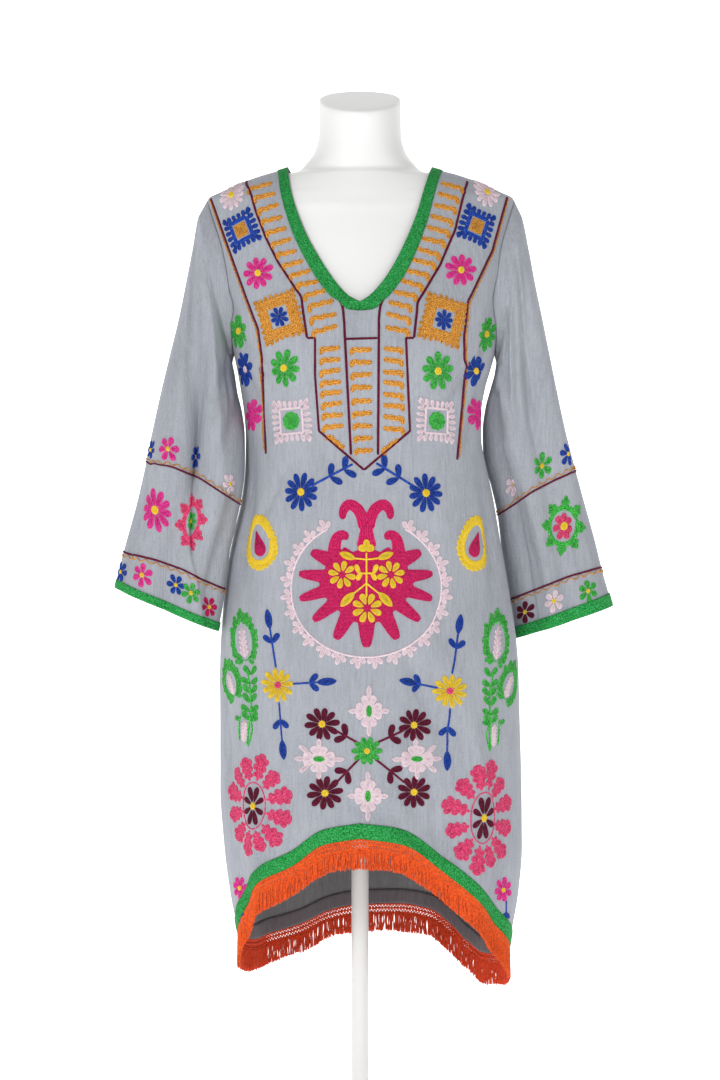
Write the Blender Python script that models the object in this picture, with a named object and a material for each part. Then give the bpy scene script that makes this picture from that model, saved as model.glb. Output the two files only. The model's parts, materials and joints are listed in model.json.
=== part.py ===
"""Embroidered cotton tunic worn on a limbless dress form with a pole and a round foot.

Metres, +Z up, the front faces -Y. The origin is the middle of the foot's flat underside.
Left and right are the viewer's, looking at the front. Each cloth piece is a thin closed wall
whose outer points come from one garment surface, so neighbouring pieces follow each other.
"""

from typing import NamedTuple

import bpy
import numpy as np

# Cloth
WALL = 0.0015
SEAM_GAP = 0.00034
ARMHOLE_GAP = 0.0006
TRIM_GAP = 0.00046
TRIM_WALL = 0.0012
NECK_BAND_WIDTH = 0.014
HEM_BAND_WIDTH = 0.019
CUFF_BAND_SHARE = 0.36

# Landmarks of the garment
UNDERARM_Z = 1.060
SHOULDER_TIP_Z = 1.259
NECK_POINT_Z = 1.300
V_POINT_Z = 1.1190
V_BAND_DROP = 0.011
BACK_NECK_DROP = 0.032
BACK_NECK_POWER = 2.6

# How far the armhole is scooped into each panel, as an angle round the body
FRONT_SCOOP = 0.40
BACK_SCOOP = 0.31
SCOOP_POWER = 0.55

# Grid of the panels and sleeves
FRONT_COLUMNS = 13
BACK_COLUMNS = 12
BACK_SHOULDER_COLUMNS = 7
SKIRT_ROWS = 16
ARMHOLE_ROWS = 11
ROWS_BELOW_V = 4
BAND_SHARE_AT_V = 0.095
BAND_SHARE_AT_NECK = 0.126
BACK_BAND_SHARE = 0.065
RIDGE_SAMPLES = 60
SLEEVE_STATIONS = [0, 0.5, 1, 2, 3, 4, 5, 6, 7, 8, 9, 10, 11]

# Fringe trim
HEM_GAP = 0.0009
HEADER_HEIGHT = 0.0135
HEADER_SWELL = 0.0008
STRAND_LENGTH = 0.026
STRAND_SHARE = 0.55
FRONT_STRANDS = 52
BACK_STRANDS = 46

# Dress form and stand
FORM_RING = 32
FRONT_SLACK = 0.0028
BACK_SLACK = 0.0052
CAP_INSET = 0.93
FOOT_RADIUS = 0.165
FOOT_THICK = 0.010
FOOT_CHAMFER = 0.003
BOSS_RADIUS = 0.022
BOSS_TOP = 0.032
POLE_RADIUS = 0.011
SOCKET_FLOOR = 0.005
FLANGE_RADIUS = 0.045
FLANGE_THICK = 0.006
LATHE_STEPS = 32

QUARTER = np.pi / 2


class Section(NamedTuple):
    """A level section of the worn tunic: how far it reaches each way, and how square it is."""

    z: float
    left: float
    right: float
    front: float
    back: float
    power: float


BODY = [
    Section(0.240, 0.146, 0.184, 0.116, 0.122, 2.3),
    Section(0.312, 0.154, 0.192, 0.119, 0.126, 2.3),
    Section(0.371, 0.166, 0.203, 0.121, 0.128, 2.3),
    Section(0.432, 0.1745, 0.2085, 0.123, 0.130, 2.3),
    Section(0.509, 0.1800, 0.208, 0.124, 0.132, 2.3),
    Section(0.586, 0.1800, 0.206, 0.124, 0.133, 2.3),
    Section(0.663, 0.179, 0.2035, 0.122, 0.132, 2.3),
    Section(0.724, 0.176, 0.196, 0.119, 0.128, 2.3),
    Section(0.785, 0.170, 0.186, 0.115, 0.121, 2.3),
    Section(0.831, 0.1615, 0.178, 0.112, 0.114, 2.3),
    Section(0.878, 0.151, 0.170, 0.109, 0.107, 2.3),
    Section(0.924, 0.1465, 0.160, 0.107, 0.102, 2.3),
    Section(0.954, 0.146, 0.155, 0.108, 0.100, 2.3),
    Section(0.985, 0.148, 0.155, 0.114, 0.101, 2.3),
    Section(1.016, 0.1525, 0.1595, 0.121, 0.103, 2.3),
    Section(1.039, 0.1565, 0.166, 0.1245, 0.106, 2.3),
    Section(1.060, 0.161, 0.172, 0.1255, 0.108, 2.3),
    Section(1.100, 0.170, 0.179, 0.121, 0.111, 2.3),
    Section(1.150, 0.179, 0.186, 0.108, 0.112, 2.25),
    Section(1.200, 0.187, 0.191, 0.094, 0.108, 2.15),
    Section(1.235, 0.193, 0.1955, 0.083, 0.100, 2.0),
    Section(1.259, 0.195, 0.197, 0.074, 0.090, 1.85),
    Section(1.270, 0.176, 0.178, 0.070, 0.084, 1.75),
    Section(1.280, 0.154, 0.156, 0.066, 0.078, 1.7),
    Section(1.290, 0.126, 0.128, 0.062, 0.071, 1.65),
    Section(1.300, 0.092, 0.092, 0.058, 0.064, 1.65),
    Section(1.310, 0.078, 0.078, 0.056, 0.061, 1.7),
]


class Form(NamedTuple):
    """A section of the dress form, its level taken at the axis, tilted forward by a slope."""

    z: float
    half: float
    front: float
    back: float
    power: float
    slope: float


FORM_BODY = [
    Form(0.604, 0.120, 0.066, 0.082, 2.2, 0),
    Form(0.609, 0.148, 0.086, 0.104, 2.2, 0),
    Form(0.625, 0.160, 0.095, 0.114, 2.2, 0),
    Form(0.665, 0.167, 0.101, 0.121, 2.2, 0),
    Form(0.720, 0.166, 0.102, 0.119, 2.2, 0),
    Form(0.785, 0.156, 0.099, 0.109, 2.2, 0),
    Form(0.831, 0.145, 0.096, 0.099, 2.2, 0),
    Form(0.878, 0.130, 0.092, 0.090, 2.2, 0),
    Form(0.924, 0.121, 0.091, 0.086, 2.2, 0),
    Form(0.954, 0.122, 0.095, 0.087, 2.2, 0),
    Form(0.985, 0.128, 0.103, 0.090, 2.2, 0),
    Form(1.016, 0.137, 0.112, 0.094, 2.2, 0),
    Form(1.060, 0.148, 0.118, 0.100, 2.2, 0),
    Form(1.100, 0.154, 0.114, 0.104, 2.2, 0),
    Form(1.150, 0.162, 0.102, 0.106, 2.2, 0),
    Form(1.200, 0.173, 0.089, 0.103, 2.1, 0),
    Form(1.232, 0.184, 0.079, 0.096, 2.0, 0),
]
SHOULDER_LEVELS = [1.247, 1.256, 1.263, 1.270, 1.277, 1.284, 1.290]
FORM_NECK = [
    Form(1.2955, 0.079, 0.0525, 0.0510, 1.7, 0),
    Form(1.306, 0.0685, 0.0540, 0.0510, 1.8, 0.05),
    Form(1.319, 0.0580, 0.0560, 0.0520, 1.95, 0.13),
    Form(1.338, 0.0515, 0.0590, 0.0480, 2.0, 0.25),
    Form(1.378, 0.0505, 0.0655, 0.0420, 2.0, 0.40),
]


class Hem(NamedTuple):
    """Height of the hem at an angle from the middle of a panel towards each side seam."""

    angle: float
    left_z: float
    right_z: float


FRONT_HEM = [
    Hem(0, 0.455, 0.455),
    Hem(12, 0.447, 0.447),
    Hem(26, 0.420, 0.415),
    Hem(45, 0.396, 0.369),
    Hem(60, 0.366, 0.340),
    Hem(75, 0.336, 0.318),
    Hem(90, 0.318, 0.303),
]
BACK_HEM = [
    Hem(0, 0.341, 0.341),
    Hem(14, 0.332, 0.343),
    Hem(25, 0.321, 0.338),
    Hem(34, 0.314, 0.320),
    Hem(43, 0.309, 0.298),
    Hem(58, 0.304, 0.286),
    Hem(75, 0.308, 0.289),
    Hem(90, 0.318, 0.303),
]


class Edge(NamedTuple):
    """How far the front neck opening reaches to either side at a height."""

    z: float
    left: float
    right: float


NECK_EDGE = [
    Edge(V_POINT_Z, 0, 0),
    Edge(1.1232, 0.0088, 0.0074),
    Edge(1.1269, 0.0148, 0.0124),
    Edge(1.1359, 0.0235, 0.0208),
    Edge(1.1525, 0.0360, 0.0334),
    Edge(1.1769, 0.0515, 0.0472),
    Edge(1.2103, 0.0690, 0.0623),
    Edge(1.2362, 0.0790, 0.0720),
    Edge(1.2623, 0.0865, 0.0795),
    Edge(1.2860, 0.0905, 0.0870),
    Edge(NECK_POINT_Z, 0.0920, 0.0920),
]


class Fold(NamedTuple):
    """A soft trough, or a ridge where the depth is below 0, down the body wall.

    The angles are degrees round the body from centre front, positive to the right.
    """

    top_angle: float
    low_angle: float
    top_z: float
    low_z: float
    width: float
    depth: float


BODY_FOLDS = [
    Fold(14, 27, 0.73, 0.40, 9, 0.0055),
    Fold(24, 40, 0.70, 0.38, 9, -0.0045),
    Fold(-30, -20, 0.62, 0.40, 9, 0.0050),
    Fold(-46, -40, 0.66, 0.33, 9, -0.0040),
    Fold(-62, -58, 0.60, 0.28, 9, 0.0060),
    Fold(60, 57, 0.64, 0.28, 9, 0.0050),
    Fold(112, 116, 0.80, 0.28, 11, 0.0060),
    Fold(136, 138, 0.78, 0.28, 11, -0.0060),
    Fold(160, 158, 0.84, 0.28, 11, 0.0065),
    Fold(-178, -176, 0.80, 0.28, 11, -0.0060),
    Fold(-156, -154, 0.82, 0.28, 11, 0.0060),
    Fold(-130, -133, 0.76, 0.28, 11, -0.0055),
    Fold(-108, -110, 0.80, 0.28, 10, 0.0055),
]


class Ring(NamedTuple):
    """A sleeve ring: its outer and inner ends seen from the front, and its depth in Y."""

    outer_x: float
    outer_z: float
    inner_x: float
    inner_z: float
    middle_y: float
    depth: float


LEFT_SLEEVE = [
    Ring(0.1950, 1.259, 0.1610, 1.060, 0.000, 0.052),
    Ring(0.2065, 1.238, 0.1632, 1.051, -0.001, 0.046),
    Ring(0.2140, 1.196, 0.1600, 1.034, -0.003, 0.052),
    Ring(0.2225, 1.150, 0.1565, 1.012, -0.007, 0.055),
    Ring(0.2315, 1.103, 0.1500, 0.985, -0.015, 0.053),
    Ring(0.2420, 1.056, 0.1462, 0.955, -0.027, 0.050),
    Ring(0.2525, 1.009, 0.1456, 0.921, -0.036, 0.048),
    Ring(0.2624, 0.962, 0.1488, 0.884, -0.041, 0.047),
    Ring(0.2716, 0.915, 0.1565, 0.845, -0.045, 0.047),
    Ring(0.2826, 0.868, 0.1650, 0.806, -0.043, 0.047),
    Ring(0.2935, 0.828, 0.1695, 0.771, -0.044, 0.048),
    Ring(0.3025, 0.794, 0.1735, 0.739, -0.044, 0.049),
    Ring(0.3090, 0.764, 0.1795, 0.709, -0.044, 0.050),
]
RIGHT_SLEEVE = [
    Ring(0.1970, 1.259, 0.1720, 1.060, 0.000, 0.052),
    Ring(0.2070, 1.238, 0.1745, 1.051, 0.001, 0.046),
    Ring(0.2160, 1.196, 0.1725, 1.036, 0.003, 0.052),
    Ring(0.2250, 1.150, 0.1670, 1.016, 0.008, 0.055),
    Ring(0.2355, 1.103, 0.1610, 0.992, 0.016, 0.053),
    Ring(0.2455, 1.056, 0.1580, 0.964, 0.023, 0.050),
    Ring(0.2555, 1.009, 0.1592, 0.930, 0.028, 0.048),
    Ring(0.2660, 0.962, 0.1695, 0.893, 0.032, 0.047),
    Ring(0.2785, 0.915, 0.1780, 0.855, 0.036, 0.047),
    Ring(0.2915, 0.868, 0.1830, 0.815, 0.040, 0.047),
    Ring(0.3035, 0.826, 0.1895, 0.777, 0.043, 0.048),
    Ring(0.3140, 0.784, 0.1955, 0.737, 0.044, 0.049),
    Ring(0.3270, 0.739, 0.2020, 0.697, 0.046, 0.050),
]


class SleeveFold(NamedTuple):
    """A trough or ridge along a sleeve, at degrees from its outer line towards the front."""

    top_angle: float
    low_angle: float
    start: float
    width: float
    depth: float


LEFT_SLEEVE_FOLDS = [
    SleeveFold(72, 92, 0.14, 16, 0.0130),
    SleeveFold(44, 58, 0.10, 16, -0.0050),
    SleeveFold(126, 124, 0.30, 17, -0.0040),
    SleeveFold(250, 255, 0.20, 19, 0.0080),
    SleeveFold(300, 296, 0.20, 19, -0.0040),
]
RIGHT_SLEEVE_FOLDS = [
    SleeveFold(70, 80, 0.12, 15, 0.0085),
    SleeveFold(108, 104, 0.16, 16, -0.0045),
    SleeveFold(140, 134, 0.22, 15, 0.0075),
    SleeveFold(255, 250, 0.20, 19, 0.0080),
    SleeveFold(300, 304, 0.20, 19, -0.0040),
]


def column(rows, name):
    return np.array([getattr(row, name) for row in rows], dtype=float)


def smooth(at, stations, values):
    """Cubic interpolation that never swings past its stations, held level beyond them."""
    at = np.clip(at, stations[0], stations[-1])
    steps = np.diff(values) / np.diff(stations)
    before, after = steps[:-1], steps[1:]
    total = np.where(before * after > 0, before + after, 1)
    bend = np.where(before * after > 0, 2 * before * after / total, 0)
    slopes = np.concatenate([steps[:1], bend, steps[-1:]])
    k = np.clip(np.searchsorted(stations, at, side="right") - 1, 0, len(stations) - 2)
    width = stations[k + 1] - stations[k]
    f = (at - stations[k]) / width
    low = (1 + 2 * f) * (1 - f) ** 2 * values[k] + f * (1 - f) ** 2 * width * slopes[k]
    high = f * f * (3 - 2 * f) * values[k + 1] + f * f * (f - 1) * width * slopes[k + 1]
    return low + high


def along(rows, name, at, station="z"):
    return smooth(at, column(rows, station), column(rows, name))


def ease(f):
    f = np.clip(f, 0, 1)
    return f * f * (3 - 2 * f)


def unit(vectors):
    return vectors / np.linalg.norm(vectors, axis=-1, keepdims=True)


def fold_depth(angle, z):
    """How far the body wall lies inwards of its plain section."""
    degrees = np.degrees(angle)
    total = np.zeros(angle.shape)
    for fold in BODY_FOLDS:
        down = (fold.top_z - z) / (fold.top_z - fold.low_z)
        middle = fold.top_angle + (fold.low_angle - fold.top_angle) * down
        off = (degrees - middle + 180) % 360 - 180
        total = total + fold.depth * ease(down * 1.6) * np.exp(-((off / fold.width) ** 2))
    return total


def body_reach(sign, z):
    return along(BODY, "left" if sign < 0 else "right", z)


def body_point(angle, z):
    """A point of the garment's outer surface, at an angle from centre front."""
    angle, z = np.broadcast_arrays(np.asarray(angle, float), np.asarray(z, float))
    sine, cosine = np.sin(angle), np.cos(angle)
    reach_x = np.where(sine < 0, body_reach(-1, z), body_reach(1, z))
    reach_y = np.where(cosine > 0, along(BODY, "front", z), along(BODY, "back", z))
    share = 2 / along(BODY, "power", z)
    depth = fold_depth(angle, z)
    x = reach_x * np.sign(sine) * np.abs(sine) ** share - sine * depth
    y = -reach_y * np.sign(cosine) * np.abs(cosine) ** share + cosine * depth
    return np.stack([x, y, z], axis=-1)


def body_normal(angle, z):
    """Outward direction of the garment's surface."""
    turn, rise = 0.01, 0.001
    round_body = body_point(angle + turn, z) - body_point(angle - turn, z)
    upward = body_point(angle, z + rise) - body_point(angle, z - rise)
    return unit(np.cross(round_body, upward))


def hem_z(angle, back):
    """Height of the cloth's lower edge at an angle round the body."""
    table = BACK_HEM if back else FRONT_HEM
    away = np.degrees(np.abs(angle))
    away = 180 - away if back else away
    left = along(table, "left_z", away, "angle")
    right = along(table, "right_z", away, "angle")
    return np.where(angle < 0, left, right)


def armhole_edge(sign, back, share):
    """(angle, height) of the armhole at a share of its height above the underarm."""
    scoop = (BACK_SCOOP if back else FRONT_SCOOP) * np.sin(np.pi * share) ** SCOOP_POWER
    angle = sign * (QUARTER + scoop) if back else sign * (QUARTER - scoop)
    return angle, UNDERARM_Z + (SHOULDER_TIP_Z - UNDERARM_Z) * share


def ridge_z(sign, x):
    """Height of the shoulder seam at a distance from the middle."""
    levels = np.linspace(NECK_POINT_Z, SHOULDER_TIP_Z, RIDGE_SAMPLES)
    return np.interp(x, body_reach(sign, levels), levels)


def front_top(sign, c):
    """(x, z) of the front shoulder seam, from the shoulder tip at 0 to the neck point at 1."""
    tip, neck = body_reach(sign, SHOULDER_TIP_Z), body_reach(sign, NECK_POINT_Z)
    x = tip + (neck - tip) * c
    return x, ridge_z(sign, x)


def back_top(sign, c):
    """(x, z) of the back shoulder seam and neck edge, from the tip at 0 to the middle at 1."""
    tip, neck = body_reach(sign, SHOULDER_TIP_Z), body_reach(sign, NECK_POINT_Z)
    corner = BACK_SHOULDER_COLUMNS / BACK_COLUMNS
    stations = [0, corner - 1 / BACK_COLUMNS, corner, 1]
    x = np.interp(c, stations, [tip, neck + NECK_BAND_WIDTH, neck, 0])
    low = NECK_POINT_Z - BACK_NECK_DROP
    curve = low + BACK_NECK_DROP * np.minimum(x / neck, 1) ** BACK_NECK_POWER
    return x, np.where(c > corner, curve, ridge_z(sign, x))


def front_inner(sign, step):
    """(x, z) where a front row ends: on the centre line, or above it on the neck edge."""
    if step < ROWS_BELOW_V:
        top = V_POINT_Z - V_BAND_DROP
        return 0.0, UNDERARM_Z + (top - UNDERARM_Z) * step / (ROWS_BELOW_V - 1)
    share = (step - ROWS_BELOW_V) / (ARMHOLE_ROWS - ROWS_BELOW_V)
    z = V_POINT_Z + (NECK_POINT_Z - V_POINT_Z) * np.sin(QUARTER * share)
    return along(NECK_EDGE, "left" if sign < 0 else "right", z), z


def back_inner(step):
    """(x, z) where a back row ends, on the centre line."""
    top = NECK_POINT_Z - BACK_NECK_DROP
    return 0.0, UNDERARM_Z + (top - UNDERARM_Z) * back_share(step)


def back_share(step):
    """How far up the back panel a row lies; the last two steps are the neck band's width."""
    top = 1 - BACK_BAND_SHARE
    stations = [0, ARMHOLE_ROWS - 2, ARMHOLE_ROWS - 1, ARMHOLE_ROWS]
    return np.interp(step, stations, [0, top, 1 - BACK_BAND_SHARE / 4, 1])


def row_columns(step, back):
    """Places of the grid columns across a row, from its outer end at 0 to its inner one at 1."""
    count = BACK_COLUMNS if back else FRONT_COLUMNS
    if back or step < ROWS_BELOW_V:
        return np.linspace(0, 1, count + 1)
    up = (step - ROWS_BELOW_V) / (ARMHOLE_ROWS - ROWS_BELOW_V)
    band = BAND_SHARE_AT_V + (BAND_SHARE_AT_NECK - BAND_SHARE_AT_V) * up
    return np.append(np.linspace(0, 1 - band, count), 1)


def skirt_row(sign, back, row):
    """Points of a row below the underarm."""
    count = BACK_COLUMNS if back else FRONT_COLUMNS
    c = np.linspace(0, 1, count + 1)
    angle = sign * (QUARTER + c * QUARTER) if back else sign * (QUARTER - c * QUARTER)
    low = hem_z(sign * np.abs(angle) if row else angle, back)
    low = np.where(c == 1, (hem_z(angle, back) + hem_z(-angle, back)) / 2, low)
    if row == 0:
        return body_point(angle, low)
    share = (row - 1) / (SKIRT_ROWS - 1)
    band_top = low + HEM_BAND_WIDTH
    return body_point(angle, band_top + (UNDERARM_Z - band_top) * share)


def bodice_row(sign, back, step):
    """Points of a row between the underarm and the shoulder, spanned from its four edges."""
    c = row_columns(step, back)
    share = (1 - np.cos(np.pi * step / ARMHOLE_ROWS)) / 2
    s = back_share(step) if back else share
    outer_angle, outer_z = armhole_edge(sign, back, share)
    outer_x = np.abs(body_point(outer_angle, outer_z)[0])
    inner_x, inner_z = back_inner(step) if back else front_inner(sign, step)
    low_x = np.abs(body_point(sign * QUARTER * (1 - c), UNDERARM_Z)[:, 0])
    top_x, top_z = back_top(sign, c) if back else front_top(sign, c)
    x = (1 - s) * low_x + s * top_x
    x += (1 - c) * (outer_x - (1 - s) * low_x[0] - s * top_x[0])
    x += c * (inner_x - s * top_x[-1])
    z = (1 - s) * UNDERARM_Z + s * top_z
    z += (1 - c) * (outer_z - (1 - s) * UNDERARM_Z - s * top_z[0])
    z += c * (inner_z - (1 - s) * UNDERARM_Z - s * top_z[-1])
    power = along(BODY, "power", z)
    away = np.arcsin(np.clip(x / body_reach(sign, z), 0, 1) ** (power / 2))
    angle = sign * (np.pi - away) if back else sign * away
    angle[0] = outer_angle
    return body_point(angle, z)


def half_panel(sign, back):
    """Points of half a panel: a row per level, from its outer edge to its inner one."""
    rows = [skirt_row(sign, back, row) for row in range(SKIRT_ROWS + 1)]
    rows += [bodice_row(sign, back, step) for step in range(1, ARMHOLE_ROWS + 1)]
    return np.array(rows)


def row_triangles(lower, upper, mirrored):
    """Triangles between two rows of point numbers, cut from the lower inner corner."""
    triangles = []
    for j in range(len(lower) - 1):
        a, b, c, d = lower[j], lower[j + 1], upper[j + 1], upper[j]
        triangles += [(a, b, d), (b, c, d)]
    if mirrored:
        return [(a, c, b) for a, b, c in triangles]
    return triangles


class Patch(NamedTuple):
    """An open cloth sheet: points, outward directions, and triangles listed by strip."""

    points: np.ndarray
    normals: np.ndarray
    strips: dict


def point_normals(points, triangles):
    triangles = np.array(triangles)
    a, b, c = (points[triangles[:, k]] for k in range(3))
    face = np.cross(b - a, c - a)
    total = np.zeros(points.shape)
    for k in range(3):
        np.add.at(total, triangles[:, k], face)
    return unit(total)


def make_panel(back):
    """The front or back panel as a sheet, its two halves joined down the centre line."""
    joined_rows = SKIRT_ROWS + (ARMHOLE_ROWS if back else ROWS_BELOW_V)
    points, strips, numbers = [], {}, {}
    for sign in (-1, 1):
        half = half_panel(sign, back)
        for i, row in enumerate(half):
            numbers[sign, i] = []
            for j, point in enumerate(row):
                if sign == 1 and j == len(row) - 1 and i <= joined_rows:
                    numbers[sign, i].append(numbers[-1, i][-1])
                    continue
                numbers[sign, i].append(len(points))
                points.append(point)
        for i in range(len(half) - 1):
            mirrored = (sign > 0) != back
            strips[sign, i] = row_triangles(numbers[sign, i], numbers[sign, i + 1], mirrored)
    points = np.array(points)
    triangles = [triangle for strip in strips.values() for triangle in strip]
    return Patch(points, point_normals(points, triangles), strips), numbers


def sleeve_ring(sign, t, phi):
    """Points of the sleeve's surface at a place along it and angles from its outer line."""
    table = LEFT_SLEEVE if sign < 0 else RIGHT_SLEEVE
    stations = np.arange(len(table), dtype=float)
    place = np.full(phi.shape, max(t, 1.0))
    outer_x, outer_z, inner_x, inner_z, middle_y, depth = (
        smooth(place, stations, column(table, name)) for name in Ring._fields
    )
    middle = np.stack([sign * (outer_x + inner_x) / 2, middle_y, (outer_z + inner_z) / 2], axis=-1)
    reach = np.stack([sign * outer_x, middle_y, outer_z], axis=-1) - middle
    forward = np.stack([0 * depth, -depth, 0 * depth], axis=-1)
    ring = middle + reach * np.cos(phi)[:, None] + forward * np.sin(phi)[:, None]
    share = t / (len(table) - 1)
    for fold in LEFT_SLEEVE_FOLDS if sign < 0 else RIGHT_SLEEVE_FOLDS:
        centre = fold.top_angle + (fold.low_angle - fold.top_angle) * share
        off = (np.degrees(phi) - centre + 180) % 360 - 180
        grown = fold.depth * ease((share - fold.start) / 0.25)
        ring -= unit(ring - middle) * (grown * np.exp(-((off / fold.width) ** 2)))[:, None]
    blend = min(t, 1.0)
    return armhole_loop(sign, phi) * (1 - blend) + ring * blend


def armhole_loop(sign, phi):
    """Points of the armhole edge at angles from the shoulder tip, round by the front."""
    share = (1 + np.cos(phi)) / 2
    front = body_point(*armhole_edge(sign, False, share))
    back = body_point(*armhole_edge(sign, True, share))
    return np.where((phi > np.pi)[:, None], back, front)


class Seam(NamedTuple):
    """The armhole seam round one side: the panels' rim and, a gap away, the sleeve's rim."""

    panel_inner: np.ndarray
    sleeve_outer: np.ndarray
    sleeve_inner: np.ndarray


def armhole_seam(sign):
    """Rims that split the corner between the body and the sleeve into two equal halves."""
    phi = np.arange(2 * ARMHOLE_ROWS) * np.pi / ARMHOLE_ROWS
    share = (1 + np.cos(phi)) / 2
    angle_front, z = armhole_edge(sign, False, share)
    angle_back, z = armhole_edge(sign, True, share)
    angle = np.where(phi > np.pi, angle_back, angle_front)
    edge = body_point(angle, z)
    body_out = body_normal(angle, z)
    tangent = unit(np.roll(edge, -1, axis=0) - np.roll(edge, 1, axis=0))
    leave = sleeve_ring(sign, 0.3, phi) - edge
    sleeve_out = unit(np.cross(tangent, leave)) * sign
    inward = -unit(body_out + sleeve_out)
    inward = unit(2 * inward + np.roll(inward, 1, axis=0) + np.roll(inward, -1, axis=0))
    aside = leave - inward * np.sum(leave * inward, axis=1)[:, None]
    aside = unit(aside - tangent * np.sum(aside * tangent, axis=1)[:, None])
    panel_inner = edge + inward * WALL
    shift = aside * ARMHOLE_GAP
    return Seam(panel_inner, edge + shift, panel_inner + shift)


def make_sleeve(sign):
    """A sleeve as a sheet, rows from the armhole to the cuff."""
    count = 2 * ARMHOLE_ROWS
    phi = np.arange(count) * np.pi / ARMHOLE_ROWS
    last = len(LEFT_SLEEVE) - 1
    stations = SLEEVE_STATIONS + [last - CUFF_BAND_SHARE, last]
    rings = [sleeve_ring(sign, t, phi) for t in stations]
    points = np.concatenate(rings)
    strips = {}
    for i in range(len(stations) - 1):
        upper = [i * count + k % count for k in range(count + 1)]
        lower = [number + count for number in upper]
        strips[i] = row_triangles(lower, upper, sign > 0)
    triangles = [triangle for strip in strips.values() for triangle in strip]
    return Patch(points, point_normals(points, triangles), strips)


def add_mesh(name, points, faces, material):
    mesh = bpy.data.meshes.new(name)
    mesh.from_pydata([tuple(point) for point in points], [], [tuple(face) for face in faces])
    mesh.update()
    mesh.materials.append(material)
    thing = bpy.data.objects.new(name, mesh)
    bpy.context.scene.collection.objects.link(thing)
    return thing


def add_shell(name, outer, inner, triangles, material):
    """A closed wall between two copies of a sheet, with a rim along its open edges."""
    used = sorted({number for triangle in triangles for number in triangle})
    place = {number: k for k, number in enumerate(used)}
    count = len(used)
    faces = [tuple(place[number] for number in triangle) for triangle in triangles]
    edges = {(face[k], face[(k + 1) % 3]) for face in faces for k in range(3)}
    walls = [(c + count, b + count, a + count) for a, b, c in faces]
    rim = []
    for a, b in sorted(edges):
        if (b, a) not in edges:
            rim += [(b, a, a + count), (b, a + count, b + count)]
    points = np.concatenate([outer[used], inner[used]])
    return add_mesh(name, points, faces + walls + rim, material)


def on_one_side(points, back):
    """Keeps a panel's points on its own side of the side and shoulder seams."""
    limit = SEAM_GAP / 2
    points = points.copy()
    points[:, 1] = np.maximum(points[:, 1], limit) if back else np.minimum(points[:, 1], -limit)
    return points


def every_triangle(patch):
    return [triangle for strip in patch.strips.values() for triangle in strip]


def lifted(patch, distance, back=None):
    """The sheet's points moved out of it, or into it where the distance is below 0."""
    points = patch.points + patch.normals * distance
    return points if back is None else on_one_side(points, back)


def add_trim(name, patch, triangles, material, back=None, inside=False):
    """A band that lies on a sheet, made from the sheet's own points."""
    near, far = TRIM_GAP, TRIM_GAP + TRIM_WALL
    if inside:
        outer, inner = lifted(patch, -WALL - near, back), lifted(patch, -WALL - far, back)
    else:
        outer, inner = lifted(patch, far, back), lifted(patch, near, back)
    return add_shell(name, outer, inner, triangles, material)


def add_fringe(name, outer, inner, strands, material):
    """A header strip along a hem line with tapered strands growing from its lower face."""
    run = np.concatenate([[0], np.cumsum(np.linalg.norm(np.diff(outer, axis=0), axis=1))])
    at = np.linspace(0, run[-1], 2 * strands + 2)
    front = np.stack([np.interp(at, run, outer[:, k]) for k in range(3)], axis=-1)
    rear = np.stack([np.interp(at, run, inner[:, k]) for k in range(3)], axis=-1)
    drop = np.array([0, 0, HEADER_HEIGHT])
    gap = np.array([0, 0, HEM_GAP])
    rings = np.stack([front - gap, rear - gap, rear - gap - drop, front - gap - drop], axis=1)
    points = list(rings.reshape(-1, 3))
    faces = [(0, 3, 2, 1), tuple(4 * len(at) - 4 + k for k in range(4))]
    for i in range(len(at) - 1):
        a, b = 4 * i, 4 * i + 4
        sides = [(a + k, a + (k + 1) % 4, b + (k + 1) % 4, b + k) for k in range(4)]
        root = sides.pop(2)
        faces += sides
        if i % 2 == 0:
            faces.append(root)
            continue
        corners = np.array([points[number] for number in root])
        middle = corners.mean(axis=0)
        tip = middle + (corners - middle) * STRAND_SHARE
        tip[:, 2] = middle[2] - STRAND_LENGTH
        first = len(points)
        points += list(tip)
        faces += [(root[k], root[(k + 1) % 4], first + (k + 1) % 4, first + k) for k in range(4)]
        faces.append(tuple(first + k for k in range(4)))
    return add_mesh(name, points, faces, material)


def form_ring(section, angle):
    """Points round the dress form at one of its sections."""
    sine, cosine = np.sin(angle), np.cos(angle)
    share = 2 / section.power
    reach_y = np.where(cosine > 0, section.front, section.back)
    x = section.half * np.sign(sine) * np.abs(sine) ** share
    y = -reach_y * np.sign(cosine) * np.abs(cosine) ** share
    return np.stack([x, y, section.z + section.slope * y], axis=-1)


def add_dress_form(material):
    """The limbless form: its shoulders lie just inside the garment, which rests on them."""
    angle = np.arange(FORM_RING) * 2 * np.pi / FORM_RING
    rings = [form_ring(section, angle) for section in FORM_BODY]
    slack = FRONT_SLACK + (BACK_SLACK - FRONT_SLACK) * ease(-6 * np.cos(angle))
    for z in SHOULDER_LEVELS:
        rings.append(body_point(angle, z) - body_normal(angle, z) * (WALL + slack)[:, None])
    rings += [form_ring(section, angle) for section in FORM_NECK]
    rim = rings[-1]
    middle = rim.mean(axis=0)
    rings.append(middle + (rim - middle) * CAP_INSET + np.array([0, 0, 0.0035]))
    points = list(np.concatenate(rings))
    faces = []
    for i in range(len(rings) - 1):
        for k in range(FORM_RING):
            following = (k + 1) % FORM_RING
            a, b = i * FORM_RING, (i + 1) * FORM_RING
            faces += [(a + k, a + following, b + following), (a + k, b + following, b + k)]
    low, high = len(points), len(points) + 1
    points += [rings[0].mean(axis=0), rings[-1].mean(axis=0)]
    top = (len(rings) - 1) * FORM_RING
    for k in range(FORM_RING):
        following = (k + 1) % FORM_RING
        faces += [(following, k, low), (top + k, top + following, high)]
    return add_mesh("dress_form", points, faces, material)


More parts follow.
